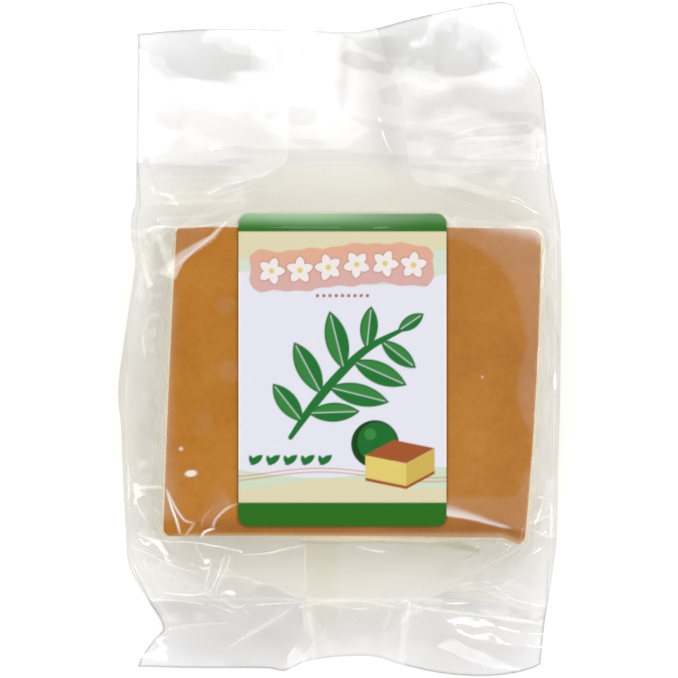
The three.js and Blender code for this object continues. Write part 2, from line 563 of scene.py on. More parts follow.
@dataclass(frozen=True)
class Slab:
    """The cake slab's form: upright, slightly bowed sides over four corners, under a top that sags.

    Sides are in the order near, right, far, left, and corners in the order near left, near right, far right,
    far left. The film that lies on the top is lifted from it along the right and far sides, past level_right
    and level_far, and carries a painted reflection where it is clear of the crust.
    """

    corners: Path = ((-50.8, -57.0), (53.6, -57.6), (58.4, 31.8), (-46.9, 32.2))
    bows: tuple[float, float, float, float] = (-0.3, 1.0, 0.4, 0.3)
    radii: tuple[float, float, float, float] = (2.2, 1.9, 3.6, 1.1)
    flare: float = 1.7
    flare_between: Pair = (46.5, 52.5)
    ends: Pair = (-57.6, 31.7)
    height: float = 31.0
    nose: float = 2.0
    nose_reach: float = 6.0
    sag_slope: float = 0.03
    level_right: Path = (
        (-70, 50.2), (-52, 50.2), (-43, 51.3), (-38, 52.9), (-33, 56.3), (-28, 54.9), (-23, 52.1),
        (-15, 50.5), (-8, 51.4), (-1, 53.2), (6, 52.2), (14, 52.6), (20, 53.2), (40, 53.2),
    )  # fmt: skip
    level_far: float = 29.2
    level_corner: float = 28.0
    crease_left: Path = ((-55.0, 15.0), (-50.4, 18.0), (-44.1, 23.4), (-36.6, 29.1), (-29.6, 36.6))
    crease_across: float = 0.78
    label_right: float = 31.0
    lower_level: float = -44.6
    fold_at: Pair = (29.0, -47.9)
    fold_slope: float = -0.33
    fold_edge: float = 0.8
    reflection_edge: float = 2.2
    reflection_deepest: float = 1.6
    reflection_deep_by: float = 8.0
    lift_bend: float = 0.3

    @property
    def half(self) -> Array:
        """Half the mean width and half the mean length.

        Returns:
            The two halves, across and along.
        """
        near_left, near_right, far_right, far_left = np.array(self.corners)
        width = near_right[0] - near_left[0] + far_right[0] - far_left[0]
        length = far_left[1] - near_left[1] + far_right[1] - near_right[1]
        return np.array([width, length]) / 4

    def flared(self, x: Array) -> Array:
        """How far the near side stands out towards its right corner: a smooth step between two x."""
        return self.flare * between(x, *self.flare_between)

    def to_plan(self, u: Array, v: Array) -> tuple[Array, Array]:
        """Turns points in the slab's own axes into plan points.

        Args:
            u: Millimetres right of the slab's middle line.
            v: Millimetres past its middle towards the far end.

        Returns:
            Plan x and y: the corners mixed by the share of the way across and along, and the sides bowed out
            by a parabola. The near right corner's flare dies out with the fourth power of the share.
        """
        near_left, near_right, far_right, far_left = np.array(self.corners)
        across, along = u / self.half[0], v / self.half[1]
        a, b = (across + 1) / 2, (along + 1) / 2
        x = mix(mix(near_left[0], near_right[0], a), mix(far_left[0], far_right[0], a), b)
        y = mix(mix(near_left[1], near_right[1], a), mix(far_left[1], far_right[1], a), b)
        near, right, far, left = self.bows
        beside, ahead = np.maximum(1 - along**2, 0), np.maximum(1 - across**2, 0)
        x = x + beside * mix(-left, right, a)
        return x, y + ahead * mix(-near, far, b) - self.flared(x) * np.clip(1 - b, 0, 1) ** 4

    def sides(self, x: Array, y: Array) -> list[Array]:
        """Distances outside each bowed side: from the side's straight line, less the bow there.

        Args:
            x: Plan x.
            y: Plan y.

        Returns:
            The distances outside the near, right, far and left side, negative inside.
        """
        distances = []
        for number, bow in enumerate(self.bows):
            (x0, y0), (x1, y1) = self.corners[number], self.corners[(number + 1) % 4]
            length = math.hypot(x1 - x0, y1 - y0)
            out = ((x - x0) * (y1 - y0) - (y - y0) * (x1 - x0)) / length
            along = 2 * ((x - x0) * (x1 - x0) + (y - y0) * (y1 - y0)) / length**2 - 1
            distances.append(out - bow * np.maximum(1 - along**2, 0))
        distances[0] = distances[0] - self.flared(x)
        return distances

    def corner_radius(self, right: Array, far: Array) -> Array:
        """The nearest upright corner's radius, by whether a point lies in the right and in the far half."""
        near_left, near_right, far_right, far_left = self.radii
        return np.where(far, np.where(right, far_right, far_left), np.where(right, near_right, near_left))

    def outside(self, x: Array, y: Array) -> Array:
        """Distance outside the slab, negative inside it, as for a rectangle with round corners."""
        near, right, far, left = self.sides(x, y)
        radius = self.corner_radius(right > left, far > near)
        return round_box(np.maximum(left, right) + radius, np.maximum(near, far) + radius, radius)

    def lifted(self, x: Array, y: Array) -> Array:
        """How far a point lies past the line along the right and far sides where the film leaves the crust.

        Args:
            x: Plan x.
            y: Plan y.

        Returns:
            The distance past the line, which rounds the far right corner, or 0.
        """
        corner = self.level_corner
        past = round_box(x - through(self.level_right, y) + corner, y - self.level_far + corner, corner)
        return positive(np.where(x > 0, past, -corner), self.lift_bend)

    def painted_reflection(self, x: Array, y: Array) -> Array:
        """How much painted reflection, a milky sheen for the softbox mirrored in the lifted film, the film
        shows where it is clear of the crust: full from a set distance past the edge on.

        Beside the line that the film is lifted from, it ends at the crease on the left and at a level line
        under the label's lower right corner. Below the fold across the near right corner the film clings to
        the crust again.

        Args:
            x: Plan x.
            y: Plan y.

        Returns:
            The share of the full painted reflection.
        """
        lifted = self.lifted(x, y)
        beyond_crease = np.where(x < 0, self.crease_across * (y - through(self.crease_left, x)), 0.0)
        lower = np.minimum(self.lower_level - y, x - self.label_right + 3)
        clear_of = lifted + 0.5 * positive(beyond_crease, self.lift_bend) + positive(lower, self.lift_bend)
        rising = mix(1.0, self.reflection_deepest, smooth(lifted / self.reflection_deep_by))
        fold_y = self.fold_at[1] + self.fold_slope * (x - self.fold_at[0])
        over_fold = smooth((y - fold_y) / self.fold_edge + 0.5)
        right = between(x, self.label_right - 6, self.label_right)
        kept = mix(1.0, over_fold, right * smooth((self.lower_level + 6 - y) / 6))
        return rising * smooth(clear_of / self.reflection_edge) * kept * smooth(-self.outside(x, y) / 0.5 + 0.5)

    def top(self, x: Array, y: Array) -> Array:
        """Height of the top, which sags where the film is lifted and bends down at the near side."""
        past = np.clip(1.0 + self.sides(x, y)[0] / self.nose_reach, 0.0, 1.2)
        return self.height - self.sag_slope * self.lifted(x, y) - self.nose * past**2


@dataclass(frozen=True)
class LabelSheet:
    """The label's outline, on top of the front panel: a rectangle with round corners."""

    width: float = 60.0
    length: float = 90.2
    x: float = 1.0
    y: float = -8.9
    corner: float = 2.9
    height: float = 31.2
    curl_from: float = 36.0
    curl_drop: float = 0.7
    curl_half_width: float = 27.0
    curl_fade: float = 8.0

    def outside(self, x: Array, y: Array) -> Array:
        """Distance outside the label, negative inside it."""
        past_x, past_y = np.abs(x - self.x) - self.width / 2, np.abs(y - self.y) - self.length / 2
        return round_box(past_x + self.corner, past_y + self.corner, self.corner)

    def curl(self, x: Array, y: Array) -> Array:
        """How far the label's far end, which overhangs the slab, has bent down.

        Args:
            x: Plan x.
            y: Plan y.

        Returns:
            The drop, by the square of the way past the slab. It is least at the label's corners.
        """
        u, v = x - self.x, y - self.y
        past = np.clip((v - self.curl_from) / (self.length / 2 - self.curl_from), 0.0, 1.6)
        across = np.clip(1.15 - (u / self.curl_half_width) ** 2, 0.15, 1.0)
        fade = smooth((self.width / 2 + self.curl_fade - np.abs(u)) / self.curl_fade)
        return self.curl_drop * past**2 * across * fade


@dataclass(frozen=True)
class BagPlan:
    """The bag's outline: its side creases as (y, x) pairs, and its cut ends as (share across, y) pairs."""

    left: Path = (
        (-96.8, -59.4), (-93.9, -58.3), (-89.2, -55), (-85, -51.8), (-76.7, -56.1), (-66.8, -60.9),
        (-55.8, -61.6), (-41.1, -62.4), (-26.5, -63), (-14.9, -63.9), (-1.8, -62.4), (11.5, -60.4),
        (22.5, -58.9), (28.9, -60.1), (36.2, -60.1), (39.2, -59.2), (51.2, -59.4), (70.3, -59.4),
        (90, -59.4),
    )  # fmt: skip
    right: Path = (
        (-95.9, 59.4), (-84.2, 60.3), (-76.7, 61.4), (-67.6, 62.1), (-57.2, 63), (-41.1, 63.3),
        (-17.8, 63.9), (5.5, 64.2), (27.4, 64.2), (36.2, 63.7), (43.7, 62.5), (52.7, 61.5), (64.4, 60.6),
        (76.2, 59.2), (81.5, 56.4), (90.9, 53.8), (98.9, 51.2),
    )  # fmt: skip
    top: Path = (
        (-1, 90), (-0.66, 91.2), (-0.13, 91.2), (0.11, 90.6), (0.23, 91.5), (0.4, 93.9), (0.61, 96.5),
        (0.93, 99.5), (1, 98.9),
    )  # fmt: skip
    bottom: Path = (
        (-1, -96.8), (-0.69, -97.1), (-0.34, -97.1), (-0.27, -97.8), (-0.17, -95), (0.03, -93.4),
        (0.18, -93.7), (0.3, -95.9), (0.5, -98.6), (0.68, -99.5), (0.82, -99.1), (0.95, -97.4), (1, -95.9),
    )  # fmt: skip

    def along_to_y(self, across: Array, along: Array) -> Array:
        """y at a share of the way along the bag, which follows both cut ends."""
        return mix(through(self.bottom, across), through(self.top, across), along)

    def width_at(self, y: Array) -> Array:
        """The bag's width at y."""
        return through(self.right, y) - through(self.left, y)

    def across_to_x(self, across: Array, y: Array) -> Array:
        """x at a share of the way across, from -1 at the left crease to 1 at the right one."""
        return mix(through(self.left, y), through(self.right, y), (across + 1) / 2)

    def lattice(self, rows: int, shares: Array) -> tuple[Array, Array, Array, Array]:
        """Lays rows of points over the bag, evenly along it and at the given shares across.

        Args:
            rows: The number of rows.
            shares: Shares of the way across, -1 to 1.

        Returns:
            The shares across and along, and plan x and y, each as rows by columns.
        """
        along, across = np.meshgrid(np.linspace(0, 1, rows), shares, indexing="ij")
        y = self.along_to_y(across, along)
        return across, along, self.across_to_x(across, y), y

    def inside(self, x: Array, y: Array) -> Array:
        """Distance inside the nearest side crease or cut end.

        Args:
            x: Plan x.
            y: Plan y.

        Returns:
            The distance across to a crease or along to an end, whichever is less.
        """
        left, right = through(self.left, y), through(self.right, y)
        across = 2 * (x - left) / (right - left) - 1
        from_ends = np.minimum(through(self.top, across) - y, y - through(self.bottom, across))
        return np.minimum(np.minimum(x - left, right - x), from_ends)

    def beside(self, x: Array, y: Array) -> Array:
        """Distance inside the nearest side crease."""
        return np.minimum(x - through(self.left, y), through(self.right, y) - x)


# ---- The film bag ----


class CreaseForm(Enum):
    """A crease's cross-section: a roof with two flat flanks, a soft roll, or a step down to its left."""

    ROOF = "roof"
    ROLL = "roll"
    STEP = "step"


@dataclass
class WayAlong:
    """Where the film's points lie beside a smooth path.

    Attributes:
        near: Which points are near it.
        off: How far off each of those lies.
        share: How far along the way.
        side: 1 on the left of the way and -1 on the right.
    """

    near: Array
    off: Array
    share: Array
    side: Array

    @classmethod
    def find(cls, path: Path, x: Array, y: Array, reach: float) -> "WayAlong":
        """Measures the points within reach of the path's box against a smooth curve through the path.

        Args:
            path: Plan points that the path runs through.
            x: Plan x.
            y: Plan y.
            reach: How far beyond the path's box a point may lie.

        Returns:
            The near points' places beside the path.
        """
        fine = resample(path, 6)
        low, high = fine.min(0) - reach, fine.max(0) + reach
        near = (x > low[0]) & (x < high[0]) & (y > low[1]) & (y < high[1])
        px, py = x[near], y[near]
        best, share, side = np.full(px.shape, np.inf), np.zeros(px.shape), np.ones(px.shape)
        for k in range(len(fine) - 1):
            start, step = fine[k], fine[k + 1] - fine[k]
            along = np.clip(((px - start[0]) * step[0] + (py - start[1]) * step[1]) / (step @ step), 0, 1)
            off_x, off_y = px - start[0] - along * step[0], py - start[1] - along * step[1]
            far = np.hypot(off_x, off_y)
            closer = far < best
            best = np.where(closer, far, best)
            share = np.where(closer, (k + along) / (len(fine) - 1), share)
            side = np.where(closer, np.sign(step[0] * off_y - step[1] * off_x), side)
        return cls(near, best, share, side)

    def read(self, values: tuple[float, ...]) -> Array:
        """Reads values that are given at evenly spaced shares of the way, in straight lines between them."""
        return np.interp(self.share, np.linspace(0, 1, len(values)), values)

    def ends(self, start: float, stop: float) -> Array:
        """Fades out both ends of the path by a smooth step over the given shares of the way."""
        return smooth(self.share / start) * smooth((1 - self.share) / stop)


@dataclass(frozen=True)
class Crease:
    """One crease in the front panel.

    Attributes:
        path: Plan points that it runs through.
        height: How high it stands, negative for a valley.
        width: Half its width.
        form: Its cross-section.
        white: How bright the painted highlight along its spine is, laid into the film's milkiness.
        white_width: Half the width of that line.
    """

    path: Path
    height: float
    width: float
    form: CreaseForm
    white: float
    white_width: float = 0.3

    def apply(self, x: Array, y: Array, lift: Array, milk_and_sheen: Array) -> None:
        """Adds the crease to the film's lift and its painted highlight to the milkiness, faded out to its ends
        by the root of a half sine.

        Args:
            x: Plan x.
            y: Plan y.
            lift: The film's lift so far in millimetres, which is changed.
            milk_and_sheen: The film's milkiness so far, which is changed.
        """
        way = WayAlong.find(self.path, x, y, 3 * self.width + 1.0)
        fade = np.sqrt(np.maximum(np.sin(math.pi * np.clip(way.share, 0.0, 1.0)), 0.0))
        off = way.off / self.width
        if self.form is CreaseForm.ROOF:
            profile = positive(1.0 - off, 0.12)
        elif self.form is CreaseForm.ROLL:
            profile = bell(off)
        else:
            profile = -0.5 * np.tanh(way.side * off) * bell(off / 2.5, 1.0)
        lift[way.near] += self.height * fade * profile
        painted_highlight = self.white * fade * bell(way.off / self.white_width)
        milk_and_sheen[way.near] = np.maximum(milk_and_sheen[way.near], painted_highlight)


@dataclass(frozen=True)
class PaintedSheen:
    """A painted sheen beside a fold, laid into the film's milkiness: it ends sharply on the right of the
    fold's way and fades out on its left.

    Attributes:
        path: Plan points that the fold runs through.
        white: How bright the painted sheen is along the fold, as milkiness, at evenly spaced shares of the
            way.
        width: How far the sheen reaches to the left, at evenly spaced shares of the way.
        sharp: How far it reaches to the right.
        edge: The power of the bell curve that the left side falls off with.
    """

    path: Path
    white: tuple[float, ...]
    width: tuple[float, ...]
    sharp: float = 0.3
    edge: float = 3.0

    def apply(self, x: Array, y: Array, lift: Array, milk_and_sheen: Array) -> None:
        """Adds the painted sheen to the film's milkiness: a bell curve of distance over reach, of power 2 on
        the right.

        Args:
            x: Plan x.
            y: Plan y.
            lift: The film's lift so far, which is not used.
            milk_and_sheen: The film's milkiness so far, which is changed.
        """
        way = WayAlong.find(self.path, x, y, 2.5 * max(self.width) + 1.0)
        left = way.side > 0
        across = np.where(left, way.read(self.width), self.sharp)
        sheen = bell(way.off / across, np.where(left, self.edge, 2.0))
        milk_and_sheen[way.near] += way.read(self.white) * way.ends(0.1, 0.1) * sheen


@dataclass(frozen=True)
class PaintedShade:
    """A line of painted shade, along which the film's colour is darkened.

    Attributes:
        path: Plan points that it runs through.
        depth: How much darker the painted shade makes the film, at evenly spaced shares of the way.
        width: Half its width, at evenly spaced shares of the way.
        tint: How much of that each of red, green and blue loses.
    """

    path: Path
    depth: tuple[float, ...]
    width: tuple[float, ...]
    tint: Rgb = (1.0, 1.0, 1.0)

    def apply(self, x: Array, y: Array, colour: Array) -> None:
        """Darkens the film's colour along the line by depth times a bell curve across it, with soft ends.

        Args:
            x: Plan x.
            y: Plan y.
            colour: The film's linear RGB so far, which is changed.
        """
        way = WayAlong.find(self.path, x, y, 3 * max(self.width))
        loss = way.read(self.depth) * way.ends(0.05, 0.03) * bell(way.off / way.read(self.width))
        colour[way.near] *= 1 - loss[:, None] * np.array(self.tint)


def ridge(*path: Pair, height: float = 0.5, width: float = 0.6, white: float = 0.4) -> Crease:
    """A sharp crease with flat flanks through the given plan points."""
    return Crease(path, height, width, CreaseForm.ROOF, white)


def roll(*path: Pair, height: float = 0.4, width: float = 0.9, white: float = 0.12) -> Crease:
    """A soft fold through the given plan points."""
    return Crease(path, height, width, CreaseForm.ROLL, white)


def step(*path: Pair, height: float = 0.4, width: float = 0.7, white: float = 0.06) -> Crease:
    """A step down on the left of the way through the given plan points."""
    return Crease(path, height, width, CreaseForm.STEP, white)


@dataclass(frozen=True)
class Blister:
    """A small flat spot in the film that is tilted towards a lamp, and whitened as the lamp's painted
    highlight.

    Attributes:
        at: Its middle in the plan.
        size: Its width and length.
        turn_deg: How far its length is turned anticlockwise from the bag's.
        rise: Its slope, as height over distance, in x and in y.
        white: How milky it is, as its painted highlight.
    """

    at: Pair
    size: Pair
    turn_deg: float = 0.0
    rise: Pair = (0.0, 0.0)
    white: float = 0.6

    def apply(self, x: Array, y: Array, lift: Array, milk_and_sheen: Array) -> None:
        """Adds the spot to the film's lift and milkiness, inside an ellipse with a soft rim.

        Args:
            x: Plan x.
            y: Plan y.
            lift: The film's lift so far in millimetres, which is changed.
            milk_and_sheen: The film's milkiness so far, which is changed.
        """
        turn = math.radians(self.turn_deg)
        dx, dy = x - self.at[0], y - self.at[1]
        u = (dx * math.cos(turn) + dy * math.sin(turn)) / (self.size[0] / 2)
        v = (dy * math.cos(turn) - dx * math.sin(turn)) / (self.size[1] / 2)
        inside = smooth((1.35 - np.hypot(u, v)) / 0.7)
        lift += inside * (self.rise[0] * dx + self.rise[1] * dy)
        np.maximum(milk_and_sheen, self.white * inside, out=milk_and_sheen)


BLISTERS = (
    # On the slab's left, painted highlights where the film has bubbled up from the crust.
    Blister((-45.6, -31.7), (1.3, 1.2), white=0.4),
    Blister((-42.7, -38.8), (3.4, 1.9), turn_deg=8, white=0.62),
    Blister((41.4, -11), (0.7, 0.9), white=0.3),
    # Faint patches beside the label, where the film touches the crust.
    Blister((-32.6, 9.6), (6, 4.6), turn_deg=30, white=0.028),
    Blister((-31.6, -9.4), (6.4, 6), white=0.03),
    Blister((-39, -24), (5, 8), turn_deg=-20, white=0.016),
    # Painted highlights in the lower left shoulder.
    Blister((-38.3, -64.4), (1.9, 1.5), turn_deg=12, white=0.75),
    Blister((-32, -74.3), (3.2, 1.5), turn_deg=-8, white=0.75),
)


# Painted sheen and highlights on the front film, laid into its milkiness.
PAINTED_SHEENS = (
    # Along the crease over the slab's far left corner, and on from it down the flange.
    PaintedSheen(((-47.6, 16.6), (-46.9, 18.4), (-45, 22.2), (-42.1, 25.1), (-38.7, 27.7), (-36.6, 29.4),
         (-33.8, 32.3), (-31.4, 34.6)), white=(0.26, 0.34, 0.38, 0.36, 0.4, 0.36, 0.3, 0.3),
         width=(6.4, 4.8, 2.9, 1.9, 1.3, 0.8, 0.5, 0.4), edge=7),
    PaintedSheen(((-52.8, 31.4), (-51.8, 27.7), (-51, 24.8), (-49.7, 21.6), (-47.6, 17.2)),
         white=(0.08, 0.26, 0.26, 0.18, 0.06), width=(0.4, 1.6, 2.6, 2, 1), edge=4),
    PaintedSheen(((-57, 25.5), (-56.2, 20), (-54.6, 14.4)), white=(0.25, 0.4), width=(1.7, 1.1), sharp=0.6),
    # Along the slab's far right corner.
    PaintedSheen(((59.4, 26), (58.2, 29), (56.6, 31), (53.6, 32.1), (48, 32.4), (40, 32.4)),
         white=(0.06, 0.2, 0.3, 0.34, 0.24, 0.12), width=(0.8, 1.8, 2.5, 2.6, 2, 1.4), sharp=0.2, edge=2),
    # Across both upper shoulders.
    PaintedSheen(((-58, 42), (-44, 41), (-34, 40.5), (-26, 41)), white=(0.1, 0.12, 0.14), width=(5, 5.5), sharp=4,
         edge=2),
    # Along the fold over the slab's near right corner.
    PaintedSheen(((24, -49.5), (31.6, -50.9), (35.7, -51.5), (39.8, -52.3), (44, -53.4), (50.6, -54.9)),
         white=(0.56, 0.52, 0.38), width=(3, 1.6, 0.45)),
    # Down the slab's left side, inside its edge and outside, and beside the label's lower left corner.
    PaintedSheen(((-47.2, 18), (-48.4, -5), (-49.4, -28), (-50.2, -42), (-50.5, -54)),
         white=(0.06, 0.05, 0.06, 0.09, 0.12), width=(1.2, 1.3, 1.6, 3, 3.2), sharp=0.4, edge=1.7),
    PaintedSheen(((-50.8, -54), (-49.6, -28), (-48.6, -5), (-47.4, 26)), white=(0.065, 0.08), width=(5, 6),
         edge=2),
    PaintedSheen(((-35.9, -54.5), (-35.7, -52.2), (-34.1, -50.4), (-30, -47.9)), white=(0.02, 0.08), width=(3, 5),
         sharp=0.4),
    # Along the slab's near edge, where the film leaves the crust.
    PaintedSheen(((-47, -57.6), (0, -58.1), (30, -58.4), (50.5, -59)), white=(0.03, 0.08), width=(0.6, 1.6),
         sharp=1.2),
    # A small triangle in the left flange.
    PaintedSheen(((-59.2, -41.4), (-59, -43.8), (-58.2, -46.2)), white=(0.5, 0.6), width=(1.5, 2.4)),
)


# What a painted shade line loses in red, green and blue: more of the blue, so that it looks olive.
OLIVE = (0.88, 0.98, 1.4)

# Lines of painted shade on the front film.
PAINTED_SHADES = (
    # Painted shadow under the slab's near edge, and painted shade over the crumb just inside it.
    PaintedShade(((-13, -58.5), (-4, -58.9), (12, -58.7), (26, -59), (34, -59.5), (41, -61.4)),
          depth=(0.2, 0.22, 0.14, 0.16, 0.26, 0.28), width=(0.3, 0.35, 0.35, 0.6, 1.2, 0.7), tint=OLIVE),
    PaintedShade(((8, -57.4), (28, -57.6), (46, -57.9)), depth=(0, 0.12, 0.14, 0.1), width=(0.7, 0.9, 0.9)),
    # Below it, down the lower right shoulder.
    PaintedShade(((40, -61.6), (33, -65.6), (27.5, -69.5)), depth=(0.08, 0.08, 0.04), width=(0.6, 1, 0.8),
          tint=OLIVE),
    # Across the upper fin.
    PaintedShade(((16.6, 46), (14.4, 58), (12.6, 72), (11.4, 90)), depth=(0, 0.14, 0.2, 0.18),
          width=(2.5, 5, 5.5, 6)),
    PaintedShade(((0.6, 66), (1.2, 76), (1.6, 90)), depth=(0.04, 0.16, 0.16), width=(1, 2, 2.2)),
    PaintedShade(((-28, 88.5), (-14, 88), (-4, 88.6)), depth=(0.1, 0.14, 0.1), width=(1.2, 1.6, 1.2)),
    # Between the gussets' inner folds in the lower fin.
    PaintedShade(((-8, -86.5), (5, -85.5), (18.5, -86.5)), depth=(0.1, 0.1, 0.1), width=(9, 9, 9)),
)


FRONT_CREASES = (
    # From the label's upper left corner over the slab's corner to its side, and on into the flange.
    ridge((-29.6, 36.6), (-33.8, 32.6), (-36.6, 29.1), (-40.1, 26.3), (-44.1, 23.4), (-47.6, 20.5),
          (-50.4, 18), height=0.25, width=1, white=0.1),
    ridge((-53.5, 33.1), (-50.2, 32.3), (-46.9, 32.1), (-43, 32.1), (-39, 32.6), (-34.9, 33.4), (-32, 34.3),
          height=0.15, white=0.28),
    # Pleats across the upper left shoulder.
    roll((-56.4, 36.3), (-48.6, 35), (-40.6, 35.8), (-30.2, 37.8), height=0.3),
    step((-57.5, 38.8), (-40.6, 39.7), (-22.1, 40.6), height=0.35, white=0.14),
    roll((-57.8, 41.8), (-34.7, 42.9), (-10.4, 43.5), height=0.35, width=1.2, white=0.06),
    step((-58, 46.8), (-40.9, 47.4), (-20.2, 46.2), width=1, white=0.1),
    roll((-58.5, 51), (-40, 50.4), (-22, 51.8), height=0.35, width=1.8, white=0.05),
    # The left flange.
    roll((-59.9, 27.5), (-58.1, 22.5), (-56.6, 14.4), width=1),
    ridge((-56.9, 1.6), (-56.1, -5.4), height=0.4, white=0.3),
    ridge((-61, -36), (-60.7, -43.2), (-61.3, -47.5), height=0.6, width=0.9),
    ridge((-58.8, -43.2), (-55.4, -42.9), (-50.4, -42.9), height=0.3, width=0.5),
    ridge((-58.8, -45.8), (-57.4, -49.6), (-55.6, -52.4), height=0.3, white=0.35),
    roll((-58.1, -47), (-52.3, -51.4), (-55.2, -54.3), (-58.7, -58.7), width=1, white=0),
    # The slab's lower left corner.
    ridge((-49.9, -43), (-48.3, -48.5), (-47.1, -51.8), (-45.8, -56.4), height=0.25, white=0.9),
    ridge((-49.6, -43.6), (-48.1, -46.9), (-46.5, -49.8), (-45.2, -51.6), (-44, -52.6), (-41.4, -53.2),
          height=0.25, width=0.5, white=0.62),
    ridge((-41.8, -53), (-42.6, -54.4), (-44.6, -57), height=0.15, width=0.4, white=0.2),
    ridge((-39.8, -57.4), (-39, -55.9), (-37.4, -55.1), (-35.9, -54.7), height=0.2, width=0.4, white=0.8),
    ridge((-28.8, -47.4), (-32, -48.7), (-34.1, -50.4), (-35.7, -52.2), (-36.3, -53.7), (-35.8, -54.9),
          height=0.2, white=0.36),
    ridge((-36, -48), (-38.2, -50.5), (-39.4, -52.2), (-39.6, -54.4), height=0.15, width=0.5, white=0.12),
    # The lower left shoulder.
    ridge((-41.7, -59.6), (-38.5, -65.3), height=0.4, width=0.5, white=0.25),
    ridge((-40.8, -65.9), (-38.6, -66.6), (-37.2, -65.6), height=0.7, width=1.3, white=0.55),
    ridge((-33, -62.4), (-34.7, -67.4), (-36.5, -71.8), (-37.7, -74.5), height=0.6, white=0.5),
    ridge((-37.5, -74.4), (-38.9, -72.7), (-38.2, -68.9), (-36.6, -63.7), width=0.5),
    ridge((-31.5, -62.4), (-32.4, -66), (-34.7, -70.4), (-36.6, -75.6), width=0.5),
    ridge((-34.9, -75), (-32.6, -74.3), (-30, -75.6), height=0.8, width=1.3, white=0.6),
    ridge((-35.4, -75.2), (-32.4, -77.7), (-29.5, -78.8), (-27.2, -77.6), width=0.5, white=0.45),
    ridge((-29, -62.4), (-20.7, -61.9), (-15.8, -60.7), (-9.6, -59.5), height=0.45, width=0.7),
    ridge((-61.2, -59.9), (-55.2, -62.2), (-50.8, -64.5), (-45.8, -66.6), (-40.2, -68.4), width=0.9,
          white=0.35),
    roll((-52.3, -67.4), (-43.5, -71.8), (-36.2, -76.2), (-28.9, -79.7), height=0.6, width=1.1, white=0.15),
    step((-28, -70), (-20, -72.5), (-12, -72), width=0.9),
    # The lower fin.
    ridge((-51.2, -85), (-43.8, -84.2), (-31.4, -83.1), height=0.4, width=0.7, white=0.2),
    ridge((-34, -91.1), (-29.1, -88.6), (-20.3, -83.3), (-15.9, -80.3), (-13.4, -78.1), height=0.7, width=0.9,
          white=0.3),
    ridge((-12.2, -78.5), (-2.6, -76.8), (6.2, -76.8), (12.1, -78), (18.8, -79), width=0.7, white=0.3),
    ridge((19.4, -77), (25.3, -79.2), (34.1, -80.3), (44.4, -81.5), (53.3, -82.7), (61.4, -84.2), height=0.6,
          width=0.7, white=0.45),
    ridge((16.6, -78.1), (20.1, -76.8), (20.3, -80.5), (18, -83.4), height=0.7, width=0.8, white=0.5),
    ridge((-9.7, -60.2), (-9.9, -68), (-10.4, -77.2), height=0.25, width=0.5, white=0.16),
    # The lower right shoulder.
    roll((42.8, -59.4), (38.2, -63.4), (29.5, -68), (19.9, -75.4), height=0.7, white=0.08),
    roll((53.6, -59.4), (47, -63.4), (38.2, -68), (32.4, -71.2), (21.4, -75.4), height=0.8),
    roll((34.9, -72.5), (44.1, -73.9), (53.8, -77.9)),
    ridge((52, -54.7), (60.1, -51.4), (63.2, -48), height=0.35, white=0.2),
    ridge((56, -55.3), (59.6, -57), width=0.8, white=0.5),
    ridge((60.5, -45.5), (61.8, -52.5), (60.8, -56.5), height=0.4, width=0.8, white=0.25),
    # The right flange.
    ridge((59.4, 26.5), (58.9, 21.5), (58.6, 14.5), height=0.3, white=0.5),
    step((62.6, 14.4), (62.8, -17.8), (62.3, -44.2), height=0.2),
    # The upper fin and its right shoulder.
    roll((16.4, 50.3), (25.3, 55.6), (32.7, 60), (41.5, 62.4), (53.3, 63.3), (61.6, 64), height=1.2,
         width=2.4, white=0),
    roll((17.9, 49.2), (26.8, 52.1), (41.5, 55), (53.3, 56.5), (61.6, 57.2), height=0.5, width=2, white=0),
    step((18.9, 49.9), (13.5, 58.6), (9.7, 76.2), (7.9, 91), height=0.5, width=1, white=0.05),
    roll((16.8, 60), (13.8, 73.3), (13.5, 86.5), height=0.15, width=1.4, white=0),
    roll((31.8, 36), (38, 34.9), (46.4, 33.4), (53, 33), height=0.2, width=1, white=0.06),
)


@dataclass(frozen=True)
class FilmSizes:
    """How the film leaves the slab and closes into the flat fins: millimetres, and shares of the bag."""

    slope: float = 19.0
    fin_height: float = 12.0
    fin_tip_height: float = 8.5
    fin_droop: float = 30.0
    fin_gap: float = 1.2
    fin_least_gap: float = 0.25
    fin_swelling: float = 0.45
    fin_wave: float = 1.1
    fin_wave_turns: Pair = (4.2, 0.05)
    front_low: float = 27.0
    back_rise: float = 5.0
    bend: float = 0.05
    foot_bends: Pair = (0.12, 0.4)
    foot_bend_to: float = 60.0
    wander: float = 0.12
    over_slab: float = 0.02
    over_table: float = 0.03
    left_depth: Pair = (48.0, 44.0)
    right_depth: Pair = (40.0, 41.5)
    slab_gap: float = 2.4
    most_sag: float = 0.9
    wall_from: float = 0.45
    flange_share: float = 0.7
    seal: float = 0.08
    seam: Pair = (-9.6, -0.3)
    over_crust: float = 0.06
    over_back: float = 0.15
    bulge: float = 0.9
    bulge_ripple: float = 0.8
    flutter_edge: float = 7.0
    calm_from: Pair = (30.0, 36.0)
    calm_to: Pair = (64.0, 54.0)
    crease_edge: float = 0.1


